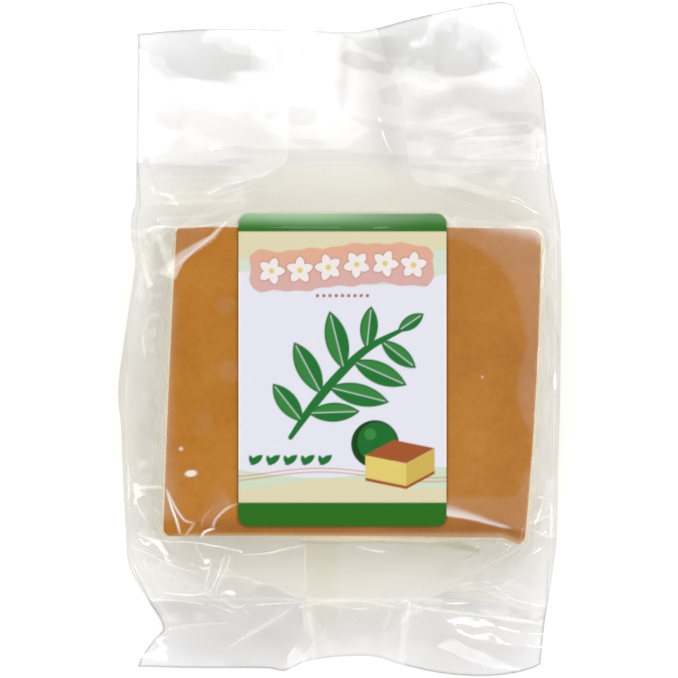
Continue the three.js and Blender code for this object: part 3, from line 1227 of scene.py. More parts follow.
@dataclass(frozen=True)
class FilmTints:
    """What the film lets through, in linear RGB, with its painted light and shade, and how much darker its
    edges are, with widths in mm.
    """

    clear: Rgb = (0.964, 0.963, 0.965)
    brightened: Rgb = (0.978, 0.978, 0.98)
    brightened_between: Pair = (52.0, 76.0)
    greyed: Rgb = (0.93, 0.926, 0.92)
    greyed_right_from: Pair = (14.0, 28.0)
    greyed_up_from: Pair = (60.0, 67.0)
    greyed_top: float = 70.0
    greyed_slant: float = 0.22
    greyed_uneven: float = 2.0
    warm_shade_far: Rgb = (0.963, 0.958, 0.898)
    warm_shade_near: Rgb = (0.964, 0.952, 0.9)
    warm_shade_reach: float = 1.25
    warm_shade_right: float = 0.5
    warm_shade_right_between: Pair = (40.0, 56.0)
    warm_shade_far_between: Pair = (-40.0, 0.0)
    seam: Rgb = (0.98, 0.974, 0.925)
    seam_from: Pair = (-100.0, -76.0)
    seam_to: Pair = (0.0, -20.0)
    rim_width: float = 0.45
    rim_shade: float = 0.14
    rim_beside_slab: float = 0.15
    flange_rim: float = 1.5
    flange_shade: float = 0.15
    contact_width: float = 0.35
    contact_shade: float = 0.26


@dataclass
class FilmBag:
    """The clear bag: a front and a back panel, and two gussets folded in between them."""

    place: Place
    plan: BagPlan
    slab: Slab
    label: LabelSheet
    sizes: FilmSizes = field(default_factory=FilmSizes)
    tints: FilmTints = field(default_factory=FilmTints)
    finish: FilmFinish = field(default_factory=FilmFinish)
    rows: int = 640
    panel_columns: int = 420
    back_rows: int = 400
    back_columns: int = 220
    leaf_columns: int = 30
    front_lengths: tuple = ((0, 213), (213, 426), (426, 639))

    def past_ends(self, y: Array) -> Array:
        """Distance in y past the slab's ends, negative beside it."""
        near, far = self.slab.ends
        return np.maximum(near - y, y - far)

    def closing(self, y: Array) -> Array:
        """How far y is into the slope past the slab's ends: 0 beside the slab, 1 where the fins start."""
        return 1.0 - fall(self.past_ends(y) / self.sizes.slope, 0.08)

    def fin_middle(self, across: Array, x: Array, y: Array) -> Array:
        """Height of the fins' middle: a droop towards the cut ends, a slow ripple across and the flutter.

        Args:
            across: Share of the way across, -1 to 1.
            x: Plan x.
            y: Plan y.

        Returns:
            The height halfway between the front and back film.
        """
        sizes = self.sizes
        reach = self.past_ends(y) - sizes.slope
        droop = mix(sizes.fin_height, sizes.fin_tip_height, smooth(reach / sizes.fin_droop))
        by_share, by_y = sizes.fin_wave_turns
        ripple = sizes.fin_wave * np.sin(by_share * across + by_y * y)
        return droop + ripple * smooth(2 * reach / sizes.fin_droop) + self.flutter(x, y)

    def opening(self, across: Array, y: Array, along: Array) -> Array:
        """The fins' opening between front and back film: a slow swell that closes at the sealed ends.

        Args:
            across: Share of the way across, -1 to 1.
            y: Plan y.
            along: Share of the way along, 0 to 1.

        Returns:
            The height between the two films.
        """
        swelling = self.sizes.fin_gap * (1.0 + self.sizes.fin_swelling * swell(40 * across, y, 34.0, seed=5))
        from_end = np.minimum(along, 1 - along) / self.sizes.seal
        return np.maximum(swelling, self.sizes.fin_least_gap) * mix(0.1, 1.0, smooth(from_end))

    def panels(self, across: Array, along: Array, x: Array, y: Array) -> tuple[Array, Array]:
        """Heights of the front and back panels: straight falls from the slab's edge to the fins and flanges.

        The front panel leaves the nearer of the slab and the label. The distance to both is half of their sum
        less the root of their difference squared, which rounds the corner between them.

        Args:
            across: Share of the way across, -1 to 1.
            along: Share of the way along, 0 to 1.
            x: Plan x.
            y: Plan y.

        Returns:
            The front and the back height at each point.
        """
        sizes = self.sizes
        middle, gap = self.fin_middle(across, x, y), self.opening(across, y, along)
        closing = self.closing(y)
        low = mix(sizes.front_low, middle + gap / 2, closing)
        rise = mix(sizes.back_rise, middle - gap / 2, closing)
        from_slab = self.slab.outside(x, y) / sizes.slope
        from_label = self.label.outside(x, y) / sizes.slope
        from_flat = 0.5 * (from_slab + from_label - np.sqrt((from_slab - from_label) ** 2 + 0.02))
        sag = self.slab.sag_slope * self.slab.lifted(x, y) * smooth(self.label.outside(x, y) / 3.0)
        foot = mix(*sizes.foot_bends, smooth(y / sizes.foot_bend_to))
        wander = 1 + sizes.wander * swell(x, y, 50.0, seed=33) * smooth(from_flat)
        front = mix(low, self.slab.height + sizes.over_slab, fall(from_flat / wander, sizes.bend, foot))
        front -= np.minimum(sag, sizes.most_sag) * fall(from_slab, sizes.bend) + self.label.curl(x, y)
        back = mix(rise, 0.0, fall(from_slab, sizes.bend))
        return front, np.maximum(back, sizes.over_table)

    def flutter(self, x: Array, y: Array) -> Array:
        """The front panel's slow unevenness, which is calm over the slab and in a strip past its far side.

        Args:
            x: Plan x.
            y: Plan y.

        Returns:
            The height to add: waves of three sizes, which die out under the label.
        """
        sizes = self.sizes
        off_label = smooth(self.label.outside(x, y) / sizes.flutter_edge)
        off_slab = smooth(self.slab.outside(x, y) / sizes.flutter_edge)
        bent_x, bent_y = x + 2.0 * swell(x, y, 45.0, seed=26), y + 2.0 * swell(x, y, 45.0, seed=27)
        calm = between(y, *sizes.calm_from) * between(y, *sizes.calm_to)
        waves = 0.45 * swell(x, y, 60.0, seed=21) + 0.02 * swell(x, y, 8.0, seed=23)
        waves += mix(0.3, 0.1, calm) * facets(bent_x, bent_y, 34.0, seed=22)
        over_slab = 0.05 * swell(x, y, 30.0, seed=24) + 0.008 * swell(x, y, 9.0, seed=25)
        return off_label * mix(over_slab, waves, off_slab)

    def tint(self, x: Array, y: Array, sheet: str) -> Array:
        """The film's colour in transmission: clear, and darker along the bag's edges.

        The film is painted clearer past the slab's far side, a painted light on the far fin, and greyed in a
        slanting band across the far fin's right half. The front has a painted warm shade near the slab,
        yellower and a little darker, for the cake's colour and shadow falling round it; a painted shadow close
        beside the label; and it is darker along the flanges' rims. The back is tinted along its seam, where it
        is double.

        Args:
            x: Plan x.
            y: Plan y.
            sheet: The sheet's name.

        Returns:
            Linear RGB at each point.
        """
        tints = self.tints
        flange = 1 - self.closing(y)
        rim = bell(self.plan.inside(x, y) / tints.rim_width)
        shade = tints.rim_shade * rim * mix(1.0, tints.rim_beside_slab, flange)
        # Painted light: the film is clearer past the slab's far side, which lightens the far fin.
        brightened = between(y, *tints.brightened_between)[..., None]
        colour = mix(np.array(tints.clear), np.array(tints.brightened), brightened * np.ones(3))
        uneven = tints.greyed_uneven * swell(x, y, 30.0, seed=37)
        top = tints.greyed_top + tints.greyed_slant * x - uneven
        greyed = between(x + uneven, *tints.greyed_right_from) * between(y + uneven, *tints.greyed_up_from)
        greyed = greyed * smooth((top - y) / 7)
        colour = colour * mix(np.ones(3), np.array(tints.greyed), greyed[..., None])
        if "front" in sheet:
            # Painted warm shade: yellower and a little darker near the slab, for the cake's colour and shadow
            # round it.
            near = fall(self.slab.outside(x, y) / (tints.warm_shade_reach * self.sizes.slope) - 0.15, 0.3)
            uneven = 1 + 0.2 * swell(x, y, 25.0, seed=31)
            warm_shade = near * mix(1.0, tints.warm_shade_right, between(x, *tints.warm_shade_right_between)) * uneven
            far = between(y, *tints.warm_shade_far_between)[..., None]
            warm_shade_colour = mix(np.array(tints.warm_shade_near), np.array(tints.warm_shade_far), far)
            colour = mix(colour, warm_shade_colour, np.clip(warm_shade, 0, 1)[..., None])
            # Painted shadow of the label's edge on the film beside it.
            shade = shade + tints.contact_shade * bell(self.label.outside(x, y) / tints.contact_width - 0.5)
            in_rim = smooth((tints.flange_rim - self.plan.beside(x, y)) / 0.7 + 0.5)
            shade += tints.flange_shade * flange * in_rim
            # Painted shade lines.
            for line in PAINTED_SHADES:
                line.apply(x, y, colour)
        elif "back" in sheet:
            left, right = self.sizes.seam
            inside = smooth(np.minimum(x - left, right - x) / 0.4 + 0.5)
            inside = inside * between(y, *tints.seam_from) * between(y, *tints.seam_to)
            colour = colour * mix(np.ones(3), np.array(tints.seam), inside[..., None])
        return colour * (1 - shade[..., None])

    def front(self) -> tuple[Array, Array]:
        """The front panel: base heights, flutter and every crease, kept clear of the slab and the back panel.

        Returns:
            The points as rows by columns by 3, and the film's milkiness with its painted sheen and highlights
            at each.
        """
        across, along, x, y = self.plan.lattice(self.rows, np.linspace(-1, 1, self.panel_columns))
        base, back = self.panels(across, along, x, y)
        inner = smooth((1 - np.abs(across)) / self.sizes.crease_edge)
        sealed = smooth(np.minimum(along, 1 - along) / self.sizes.seal)
        extra = self.flutter(x, y) * (1 - self.closing(y))
        finish = self.finish
        milk_and_sheen = mix(*finish.milkiness, between(x, *finish.milky_between))
        # Painted reflection: milkiness where the film is lifted clear of the crust stands for the softbox
        # mirrored in it.
        milk_and_sheen = milk_and_sheen + finish.lifted_reflection * self.slab.painted_reflection(x, y)
        milk_and_sheen = milk_and_sheen + finish.fin_haze * between(y, *finish.fin_haze_between)
        # The creases, blisters and sheens paint their highlights into the milkiness.
        for mark in (*FRONT_CREASES, *BLISTERS, *PAINTED_SHEENS):
            mark.apply(x, y, extra, milk_and_sheen)
        front = base + inner * sealed * extra
        over_crust, over_back = self.slab.top(x, y) + self.sizes.over_crust, back + self.sizes.over_back
        rest_on = np.where(self.slab.outside(x, y) < 0, over_crust, over_back)
        front = np.where(inner > 0.1, np.maximum(front, rest_on), front)
        return np.stack([x, y, front], axis=-1), milk_and_sheen

    def back(self) -> Array:
        """The back panel's points, from the right crease to the left one so that the film faces down."""
        across, along, x, y = self.plan.lattice(self.back_rows, np.linspace(1, -1, self.back_columns))
        return np.stack([x, y, self.panels(across, along, x, y)[1]], axis=-1)

    def gusset(self, side: int) -> Array:
        """A gusset's points: in from the front crease to its fold, and out again to the back crease.

        Beside the slab a leaf runs in across the flange and then down the slab's side, and in the fins it
        lies flat at its full depth. In between the two blend with the closing of the panels.

        Args:
            side: -1 for the left gusset and 1 for the right one.

        Returns:
            The points as rows by columns by 3, facing out of the bag.
        """
        sizes = self.sizes
        inward = np.linspace(0, 1, self.leaf_columns)
        inward = (inward + smooth(inward)) / 2
        share = np.concatenate([inward, inward[::-1]])
        sign = np.concatenate([np.ones(self.leaf_columns), -np.ones(self.leaf_columns)])
        along, t = np.meshgrid(np.linspace(0, 1, self.rows), share, indexing="ij")
        sign = np.broadcast_to(sign, t.shape)
        edge = np.full(t.shape, float(side))
        y_edge = self.plan.along_to_y(edge, along)
        closing = self.closing(y_edge)
        width = self.plan.width_at(y_edge)
        near, far = self.slab.ends
        slab_along = 2 * np.clip((y_edge - near) / (far - near), 0, 1) - 1
        slab_side, _ = self.slab.to_plan(side * self.slab.half[0], slab_along * self.slab.half[1])
        slab_side = slab_side + side * sizes.slab_gap
        flange = np.maximum(side * (self.plan.across_to_x(edge, y_edge) - slab_side), 1.0)
        first = np.clip(t / sizes.wall_from, 0, 1)
        second = np.clip((t - sizes.wall_from) / (1 - sizes.wall_from), 0, 1)
        beside = flange * first
        flat = mix(*(sizes.left_depth if side < 0 else sizes.right_depth), along) * t
        depth = mix(beside, flat, closing)
        across = side * (1 - 2 * depth / width)
        y = self.plan.along_to_y(across, along)
        x = self.plan.across_to_x(across, y)
        front, back = self.panels(across, along, x, y)
        level = mix(mix(1.0, sizes.flange_share, first), 0.03, second)
        in_fin = mix(1.0, 0.35, smooth(t / 0.12)) * mix(1.0, 0.1, t)
        level = mix(level, in_fin, closing)
        ripple = swell(y, 25 * t * sign, 16.0, seed=40 + side)
        ripple += 0.4 * swell(y, 12 * t * sign, 6.0, seed=50 + side)
        bulge = np.sin(math.pi * t) * (1 - closing) * (sizes.bulge + sizes.bulge_ripple * ripple)
        x = x + side * np.maximum(bulge, 0.0) * smooth(t / 0.3)
        z = (front + back) / 2 + sign * level * (front - back) / 2
        z = np.where(t == 0, np.where(sign > 0, front, back), z)
        if side < 0:
            return np.stack([x, y, z], axis=-1)[:, ::-1]
        return np.stack([x, y, z], axis=-1)

    def build(self) -> list[Piece]:
        """Makes the sheets of film: the front panel in three lengths, the back panel and both gussets.

        Returns:
            The pieces, each riding on the body and standing for the bag's solid.
        """
        material = self.finish.make("clear_film")
        front, milk_and_sheen = self.front()
        pieces = []
        for name, rows in zip(("foot", "middle", "head"), self.front_lengths):
            part = slice(rows[0], rows[1] + 1)
            pieces.append(self.sheet(f"film_front_{name}", front, material, milk_and_sheen, part))
        pieces.append(self.sheet("film_back", self.back(), material))
        for name, side in (("left", -1), ("right", 1)):
            pieces.append(self.sheet(f"film_gusset_{name}", self.gusset(side), material))
        return pieces

    def sheet(
        self,
        name: str,
        points: Array,
        material: Material,
        milk_and_sheen: Array | None = None,
        part: slice = slice(None),
    ) -> Piece:
        """Makes one sheet, or a length of it that keeps the whole sheet's normals along its cut.

        Args:
            name: The piece's name.
            points: The whole sheet's points as rows by columns by 3.
            material: The film's finish.
            milk_and_sheen: The film's milkiness at each point, if it varies.
            part: The rows that are made.

        Returns:
            The piece.
        """
        normals = np.cross(np.gradient(points, axis=1), np.gradient(points, axis=0))
        normals /= np.maximum(np.linalg.norm(normals, axis=-1, keepdims=True), 1e-9)
        own = points[part]
        rows, columns = own.shape[:2]
        quads = grid_quads(rows, columns)
        if "gusset" in name:
            quads = quads[quads[:, 0] % columns != columns // 2 - 1]
        piece = self.place.write(name, own.reshape(-1, 3), quads, material)
        if milk_and_sheen is not None:
            piece.data.normals_split_custom_set_from_vertices(normals[part].reshape(-1, 3).tolist())
        else:
            milk_and_sheen = np.full(points.shape[:2], self.finish.milkiness[1])
        paint(piece, self.finish.cast, self.tint(own[..., 0], own[..., 1], name))
        weigh(piece, self.finish.milk_and_sheen_layer, milk_and_sheen[part])
        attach(piece, BODY)
        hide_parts("bag")
        return piece


# ---- The cake ----


@dataclass
class Cake:
    """The sponge slab: an open crumb between a brown top crust and a thin brown base."""

    place: Place
    slab: Slab
    crust: CrustFinish = field(default_factory=CrustFinish)
    crumb: CrumbFinish = field(default_factory=CrumbFinish)
    inset: float = 0.5
    crust_thickness: float = 1.3
    base_thickness: float = 0.9
    crumb_cells: tuple[int, int, int] = (150, 130, 46)
    crust_cells: tuple[int, int, int] = (170, 146, 4)
    base_cells: tuple[int, int, int] = (80, 70, 2)
    crumb_low: float = 0.4
    crumb_down: float = 0.7
    base_low: float = 0.1
    base_inset: float = 0.3
    foot_bulge: float = 2.6
    foot_bulge_from: Pair = (-22.0, -2.0)
    foot_bulge_to: Pair = (48.0, 30.0)
    right_bulge: float = 1.85
    left_bulge: float = 1.65
    edge_radius: float = 1.3
    crust_edge: float = 0.6
    base_edge: float = 0.4
    film_under: float = 0.15
    lump: float = 0.1
    pit: float = 0.26
    crust_wave: float = 0.05
    strip_at: float = 2.6
    strip_width: float = 2.2
    strip_from: Pair = (-46.0, -32.0)
    lip_width: Pair = (1.2, 2.2)
    lip_widens: Pair = (0.0, 45.0)
    lip_from: Pair = (-52.0, -42.0)

    def shape(self, unit: Array, low: float, high: float, shrink: float, radius: float) -> Array:
        """Bends a box skin into the slab's form between two heights, with round edges.

        Args:
            unit: Points of the box skin, from -1 to 1 each way.
            low: Height of the underside.
            high: How far the top lies below the slab's own top.
            shrink: How far the sides stand inside the slab's outline.
            radius: Radius of every edge.

        Returns:
            Points in the slab's own axes, in millimetres, before the top's sag.
        """
        half = self.slab.half - shrink
        tall = self.slab.height - high - low
        box = np.concatenate([unit[:, :2] * half, (unit[:, 2:] + 1) / 2 * tall], axis=1)
        inner_low = np.array([-half[0] + radius, -half[1] + radius, min(radius, tall / 2)])
        inner_high = np.array([half[0] - radius, half[1] - radius, tall - min(radius, tall / 2)])
        core = np.clip(box, inner_low, inner_high)
        out = box - core
        length = np.linalg.norm(out, axis=1, keepdims=True)
        box = core + out * np.minimum(1.0, radius / np.maximum(length, 1e-9))
        plan = box[:, :2]
        upright = self.slab.corner_radius(plan[:, 0] > 0, plan[:, 1] > 0)
        round_by = np.maximum(upright - shrink, radius)[:, None]
        core = np.clip(plan, -half + round_by, half - round_by)
        out = plan - core
        reach = np.max(np.abs(out), axis=1, keepdims=True)
        length = np.linalg.norm(out, axis=1, keepdims=True)
        box[:, :2] = np.where(length > 1e-9, core + out * reach / np.maximum(length, 1e-9), plan)
        box[:, 2] += low
        return box

    def settle(self, points: Array) -> Array:
        """Places points from the slab's own axes in the plan, lowered by their share of the top's sag.

        Args:
            points: Points in the slab's own axes, one row each.

        Returns:
            The points in the plan. The share is a smooth step of the height.
        """
        x, y = self.slab.to_plan(points[:, 0], points[:, 1])
        share = smooth(points[:, 2] / self.slab.height)
        return np.stack([x, y, points[:, 2] + (self.slab.top(x, y) - self.slab.height) * share], axis=1)

    def side_bulge(self, points: Array) -> Array:
        """Pushes the crumb's sides out: a little at both sides, and most at the near end.

        Args:
            points: Points in the slab's own axes, one row each.

        Returns:
            The points, moved out by a half sine of their height.
        """
        u, v = points[:, 0], points[:, 1]
        belly = np.sin(math.pi * np.clip(points[:, 2] / self.slab.height, 0, 1)) ** 0.8
        at_side = np.abs(u) > self.slab.half[0] - 3
        at_near_end = v < -self.slab.half[1] + 3
        sway = 0.5 + 0.5 * between(u, *self.foot_bulge_from) * between(u, *self.foot_bulge_to)
        u = u + np.where(at_side, np.where(u > 0, self.right_bulge, -self.left_bulge) * belly, 0.0)
        v = v - np.where(at_near_end, self.foot_bulge * sway * belly, 0.0)
        return np.stack([u, v, points[:, 2]], axis=1)

    def pores(self, points: Array) -> Array:
        """Roughens the crumb's sides: gentle lumps, and pits where a fine field is low.

        Args:
            points: Points in the slab's own axes, one row each.

        Returns:
            The points, moved across their own side.
        """
        u, v, z = points.T
        lumps = swell(u + z, v - z, 4.0, seed=3)
        pits = np.minimum(swell(u + 1.7 * z, v + 0.6 * z, 1.9, seed=4) + 0.4, 0)
        out = self.lump * lumps + self.pit * pits
        half = self.slab.half
        u = u + out * np.sign(u) * (np.abs(u) > half[0] - 4)
        v = v + out * np.sign(v) * (np.abs(v) > half[1] - 3.5)
        return np.stack([u, v, z], axis=1)

    def edge_shades(self, points: Array) -> tuple[Array, Array]:
        """How much darker the crust is in a strip inside its near edge, a darker bake and painted shade where
        the top bends down, and how pale at the edge's lip.

        Args:
            points: The crust's plan points.

        Returns:
            The shares of both, from 0 to 1, in the order of the points.
        """
        x, y, _ = points.T
        inside = -self.slab.sides(x, y)[0]
        # The strip is partly a darker bake and partly painted shade on the top's bend down to the near side.
        strip = bell((inside - self.strip_at) / self.strip_width)
        lip = smooth(1 - inside / mix(*self.lip_width, between(x, *self.lip_widens)))
        return strip * between(x, *self.strip_from), lip * between(x, *self.lip_from)

    def build(self) -> list[Piece]:
        """Makes the crumb, the top crust and the base.

        Returns:
            The pieces, each riding on the body and standing for the bag's solid with the film.
        """
        unit, crumb_quads = box_lattice(self.crumb_cells)
        crumb = self.shape(unit, self.crumb_low, self.crumb_down, self.inset, self.edge_radius)
        crumb = self.settle(self.pores(self.side_bulge(crumb)))
        unit, top_quads = box_lattice(self.crust_cells)
        crust_low = self.slab.height - self.crust_thickness - self.film_under
        crust = self.settle(self.shape(unit, crust_low, self.film_under, 0.0, self.crust_edge))
        crust[:, 2] += self.crust_wave * swell(crust[:, 0], crust[:, 1], 12.0, seed=9)
        unit, base_quads = box_lattice(self.base_cells)
        base_down = self.slab.height - self.base_low - self.base_thickness
        base = self.settle(self.shape(unit, self.base_low, base_down, self.base_inset, self.base_edge))
        crumb_finish, crust_finish = self.crumb.make("sponge_crumb"), self.crust.make("baked_crust")
        made = (
            ("cake_crumb", crumb, crumb_quads, crumb_finish, "crumb"),
            ("cake_crust", crust, top_quads, crust_finish, "crust"),
            ("cake_base", base, base_quads, crust_finish, "crust"),
        )
        pieces = []
        for name, points, faces, material, slot in made:
            piece = self.place.write(name, points, faces, material)
            if slot == "crust":
                bake_and_shade, lip = self.edge_shades(points)
                weigh(piece, self.crust.bake_and_shade_layer, bake_and_shade)
                weigh(piece, self.crust.lip_layer, lip)
            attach(piece, BODY)
            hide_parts("bag")
            pieces.append(piece)
        return pieces


# ---- The label ----


def ink(red: int, green: int, blue: int) -> Rgb:
    """An ink's albedo from the 8-bit sRGB colour that it shows: less the sheen, over the light on it."""
    studio_light = 1.32
    sheen = 0.012
    return tuple(max(value - sheen, 0.002) / studio_light for value in linear(red, green, blue))


class Ink:
    """The label's inks."""

    PAPER = ink(227, 228, 238)
    CUT_EDGE = ink(252, 240, 228)
    GREEN = ink(48, 112, 37)
    # The pale green of the top band's painted sheen.
    GREEN_PAINTED_SHEEN = ink(158, 198, 152)
    CREAM = ink(222, 213, 178)
    MINT = ink(206, 220, 196)
    SALMON = ink(223, 172, 146)
    BLUSH = ink(216, 174, 168)
    ORANGE = ink(208, 132, 98)
    LEAF = ink(40, 118, 54)
    LEAF_LIGHT = ink(70, 146, 74)
    DARK = ink(32, 72, 24)
    YELLOW = ink(224, 204, 112)
    OCHRE = ink(206, 178, 88)
    RUSSET = ink(164, 88, 50)
    PETAL = ink(236, 230, 228)


def disc(u: Array, v: Array, at: Pair, radius: float) -> Array:
    """Millimetres inside a disc, negative outside it."""
    return radius - np.hypot(u - at[0], v - at[1])


def polygon(u: Array, v: Array, corners: Path) -> Array:
    """Millimetres inside a convex polygon: the least distance to the left of its sides.

    Args:
        u: Millimetres right of the label's middle.
        v: Millimetres above it.
        corners: Its corners, anticlockwise.

    Returns:
        The distance inside its nearest side, negative outside it.
    """
    inside = np.full(u.shape, np.inf)
    for start, end in zip(corners, corners[1:] + corners[:1]):
        step_u, step_v = end[0] - start[0], end[1] - start[1]
        left = (step_u * (v - start[1]) - step_v * (u - start[0])) / math.hypot(step_u, step_v)
        inside = np.minimum(inside, left)
    return inside


def leaf(u: Array, v: Array, base: Pair, heading_deg: float, length: float, width: float) -> Array:
    """Millimetres inside a leaf: the overlap of two discs whose rims cross at its base and tip.

    Args:
        u: Millimetres right of the label's middle.
        v: Millimetres above it.
        base: Where the leaf starts.
        heading_deg: Where it points, anticlockwise from the label's right.
        length: From base to tip.
        width: At its widest.

    Returns:
        The distance inside the leaf's edge, negative outside it.
    """
    heading = math.radians(heading_deg)
    along = (u - base[0]) * math.cos(heading) + (v - base[1]) * math.sin(heading) - length / 2
    beside = (v - base[1]) * math.cos(heading) - (u - base[0]) * math.sin(heading)
    radius = (length**2 / 4 + width**2 / 4) / width
    return radius - np.hypot(along, np.abs(beside) + radius - width / 2)


def stroke(u: Array, v: Array, path: tuple[tuple[float, float, float], ...]) -> Array:
    """Millimetres inside a brush stroke through (u, v, half width) points, with round ends.

    Args:
        u: Millimetres right of the label's middle.
        v: Millimetres above it.
        path: The stroke's points in order.

    Returns:
        The distance inside the stroke's edge, negative outside it.
    """
    fine = resample(path, 8)
    inside = np.full(u.shape, -np.inf)
    for start, end in zip(fine[:-1], fine[1:]):
        step = end - start
        along = (u - start[0]) * step[0] + (v - start[1]) * step[1]
        share = np.clip(along / (step[0] ** 2 + step[1] ** 2), 0, 1)
        far = np.hypot(u - start[0] - share * step[0], v - start[1] - share * step[1])
        inside = np.maximum(inside, start[2] + share * step[2] - far)
    return inside


@dataclass(frozen=True)
class Wave:
    """A wavy edge across the label, and the ink on its outer side.

    Attributes:
        ink: The ink's linear RGB.
        height: Its mean distance from the label's end.
        swing: How far it swings each way.
        length: The length over which its sine turns by one radian.
        phase: Where its sine starts, in radians.
        strength: How much of the ink covers.
    """

    ink: Rgb
    height: float
    swing: float
    length: float
    phase: float
    strength: float = 1.0

    def at(self, u: Array) -> Array:
        """Distance of the edge from the label's end, by the sine of the way across."""
        return self.height + self.swing * np.sin(u / self.length + self.phase)


@dataclass
class PaperLabel:
    """The printed label: fields of colour, a leafy sprig, blossoms and a block of cake, with no lettering."""

    place: Place
    sheet: LabelSheet
    finish: PrintFinish = field(default_factory=PrintFinish)
    cell: float = 0.26
    band_top: float = 5.2
    band_bottom: float = 6.8
    # How strong the painted sheen on the top band is at its left and right.
    sheen: Pair = (0.95, 0.4)
    painted_sheen_between: Pair = (-10.0, 20.0)
    cut_edge: float = 0.4
    top_waves: tuple = (Wave(Ink.MINT, 18.5, 2.2, 10.0, 0.6, 0.8), Wave(Ink.CREAM, 11.5, 2.0, 12.0, 3.4))
    bottom_waves: tuple = (Wave(Ink.MINT, 15.5, 1.6, 11.0, -0.9), Wave(Ink.CREAM, 12.2, 1.5, 9.0, 1.9))
    line: Wave = Wave(Ink.ORANGE, 14.2, 1.4, 10.0, 2.2, 0.8)
    line_lifts: Pair = (0.0, 1.1)
    line_half_width: float = 0.16
    ribbon_at: Wave = Wave(Ink.SALMON, 29.6, 1.1, 9.5, 0.4)
    ribbon_half_size: Pair = (23.4, 2.8)
    ribbon_corner: float = 3.1
    petal_size: Pair = (4.0, 2.6)
    petal_outline: float = 0.22
    stem: tuple = (
        # u, v, half width
        (-15.0, -19.5, 0.7), (-9.0, -11.0, 1.2), (-1.5, -2.0, 1.3), (7.0, 6.0, 1.1), (17.0, 11.5, 0.6),
    )  # fmt: skip
    leaves: tuple = (
        # base u, base v, heading, length, width
        (-11.5, -15, 128, 14, 5.8),
        (-10, -12.5, 2, 15, 5.6),
        (-6, -7, 118, 17, 6.6),
        (-4, -5, -14, 18, 6.4),
        (0.5, 0, 104, 17.5, 6.6),
        (3, 2.5, -24, 17, 6.4),
        (7, 6, 84, 12.5, 5.2),
        (11, 8.5, -38, 13, 5),
        (16, 11.2, 34, 9, 4),
    )
    blossoms: tuple[float, ...] = (-20.5, -12.3, -4.1, 4.1, 12.3, 20.5)
    little_leaves: tuple[float, ...] = (-25, -20, -15, -10, -5)
    dot_spacing: float = 1.8
    dot_row: float = 21.4
    dots_half_width: float = 8.1
    block_top: Path = ((6.6, -24.6), (18.4, -27.0), (26.6, -22.6), (14.8, -20.2))
    block_height: float = 7.4
    block_crust: float = 0.9
    rounds: tuple = (
        # ink, middle, radius, strength
        (Ink.DARK, (9.4, -21.4), 6.9, 1.0),
        (Ink.LEAF, (10.0, -20.8), 5.7, 0.8),
        (Ink.LEAF_LIGHT, (8.0, -18.6), 1.7, 0.7),
    )

    def fields(self, u: Array, v: Array, colour: Array) -> None:
        """Lays the bands at both ends with a painted sheen on the top one, the pale waves beside them and two
        thin lines.

        Args:
            u: Millimetres right of its middle.
            v: Millimetres above its middle.
            colour: The colours so far, which are changed.
        """
        from_top, from_bottom = self.sheet.length / 2 - v, v + self.sheet.length / 2
        self.lay(colour, Ink.CUT_EDGE, self.cut_edge - (self.sheet.width / 2 - np.abs(u)))
        for waves, from_end in ((self.top_waves, from_top), (self.bottom_waves, from_bottom)):
            for wave in waves:
                self.lay(colour, wave.ink, wave.at(u) - from_end, wave.strength)
        for lift in self.line_lifts:
            off_line = np.abs(from_bottom - self.line.at(u) - lift)
            self.lay(colour, self.line.ink, self.line_half_width - off_line, self.line.strength)
        self.lay(colour, Ink.GREEN, self.band_top - from_top)
        # Painted sheen: a paler green along the top band's upper edge stands for the gloss mirrored on the
        # label's curled end.
        sheen = mix(*self.sheen, between(u, *self.painted_sheen_between))
        sheen = sheen * smooth(1 - from_top / self.band_top) ** 1.4
        self.lay(colour, Ink.GREEN_PAINTED_SHEEN, self.band_top - from_top, sheen)
        self.lay(colour, Ink.GREEN, self.band_bottom - from_bottom)

    def ribbon(self, u: Array, v: Array, colour: Array) -> None:
        """Lays a salmon ribbon across the upper part, with a row of pale blossoms on it.

        Args:
            u: Millimetres right of its middle.
            v: Millimetres above its middle.
            colour: The colours so far, which are changed.
        """
        bow, (half_width, half_height) = self.ribbon_at.at(u), self.ribbon_half_size
        past_u, past_v = np.abs(u) - half_width, np.abs(v - bow) - half_height
        corner = np.hypot(np.maximum(past_u, 0), np.maximum(past_v, 0))
        ragged = 0.25 * np.sin(u / 2.3) + 0.2 * np.sin(u / 1.1 + v)
        inside = self.ribbon_corner + ragged - corner
        shade = smooth((bow + 5 - v) / 10)[..., None]
        cover = np.clip(inside / self.cell + 0.5, 0, 1)[..., None]
        colour[...] = mix(colour, mix(np.array(Ink.SALMON), np.array(Ink.BLUSH), shade), cover)
        for number, at in enumerate(self.blossoms):
            middle = (at, float(self.ribbon_at.at(at)))
            for petal_ink, outline, strength in ((Ink.RUSSET, self.petal_outline, 0.75), (Ink.PETAL, 0, 1)):
                for petal in range(5):
                    inside = leaf(u, v, middle, 72.0 * petal + 17.0 * number, *self.petal_size)
                    self.lay(colour, petal_ink, inside + outline, strength)
            self.lay(colour, Ink.YELLOW, disc(u, v, middle, 0.8))

    def sprig(self, u: Array, v: Array, colour: Array) -> None:
        """Lays the green sprig in the middle: a curved stem and leaves with pale midribs.

        Args:
            u: Millimetres right of its middle.
            v: Millimetres above its middle.
            colour: The colours so far, which are changed.
        """
        self.lay(colour, Ink.LEAF, stroke(u, v, self.stem))
        for base_u, base_v, heading, length, width in self.leaves:
            inside = leaf(u, v, (base_u, base_v), heading, length, width)
            turn = math.radians(heading)
            beside = (v - base_v) * math.cos(turn) - (u - base_u) * math.sin(turn)
            self.lay(colour, Ink.LEAF, inside)
            self.lay(colour, Ink.LEAF_LIGHT, np.minimum(inside - 0.5, beside), 0.55)
            self.lay(colour, Ink.PAPER, np.minimum(inside - 0.7, 0.14 - np.abs(beside)), 0.8)

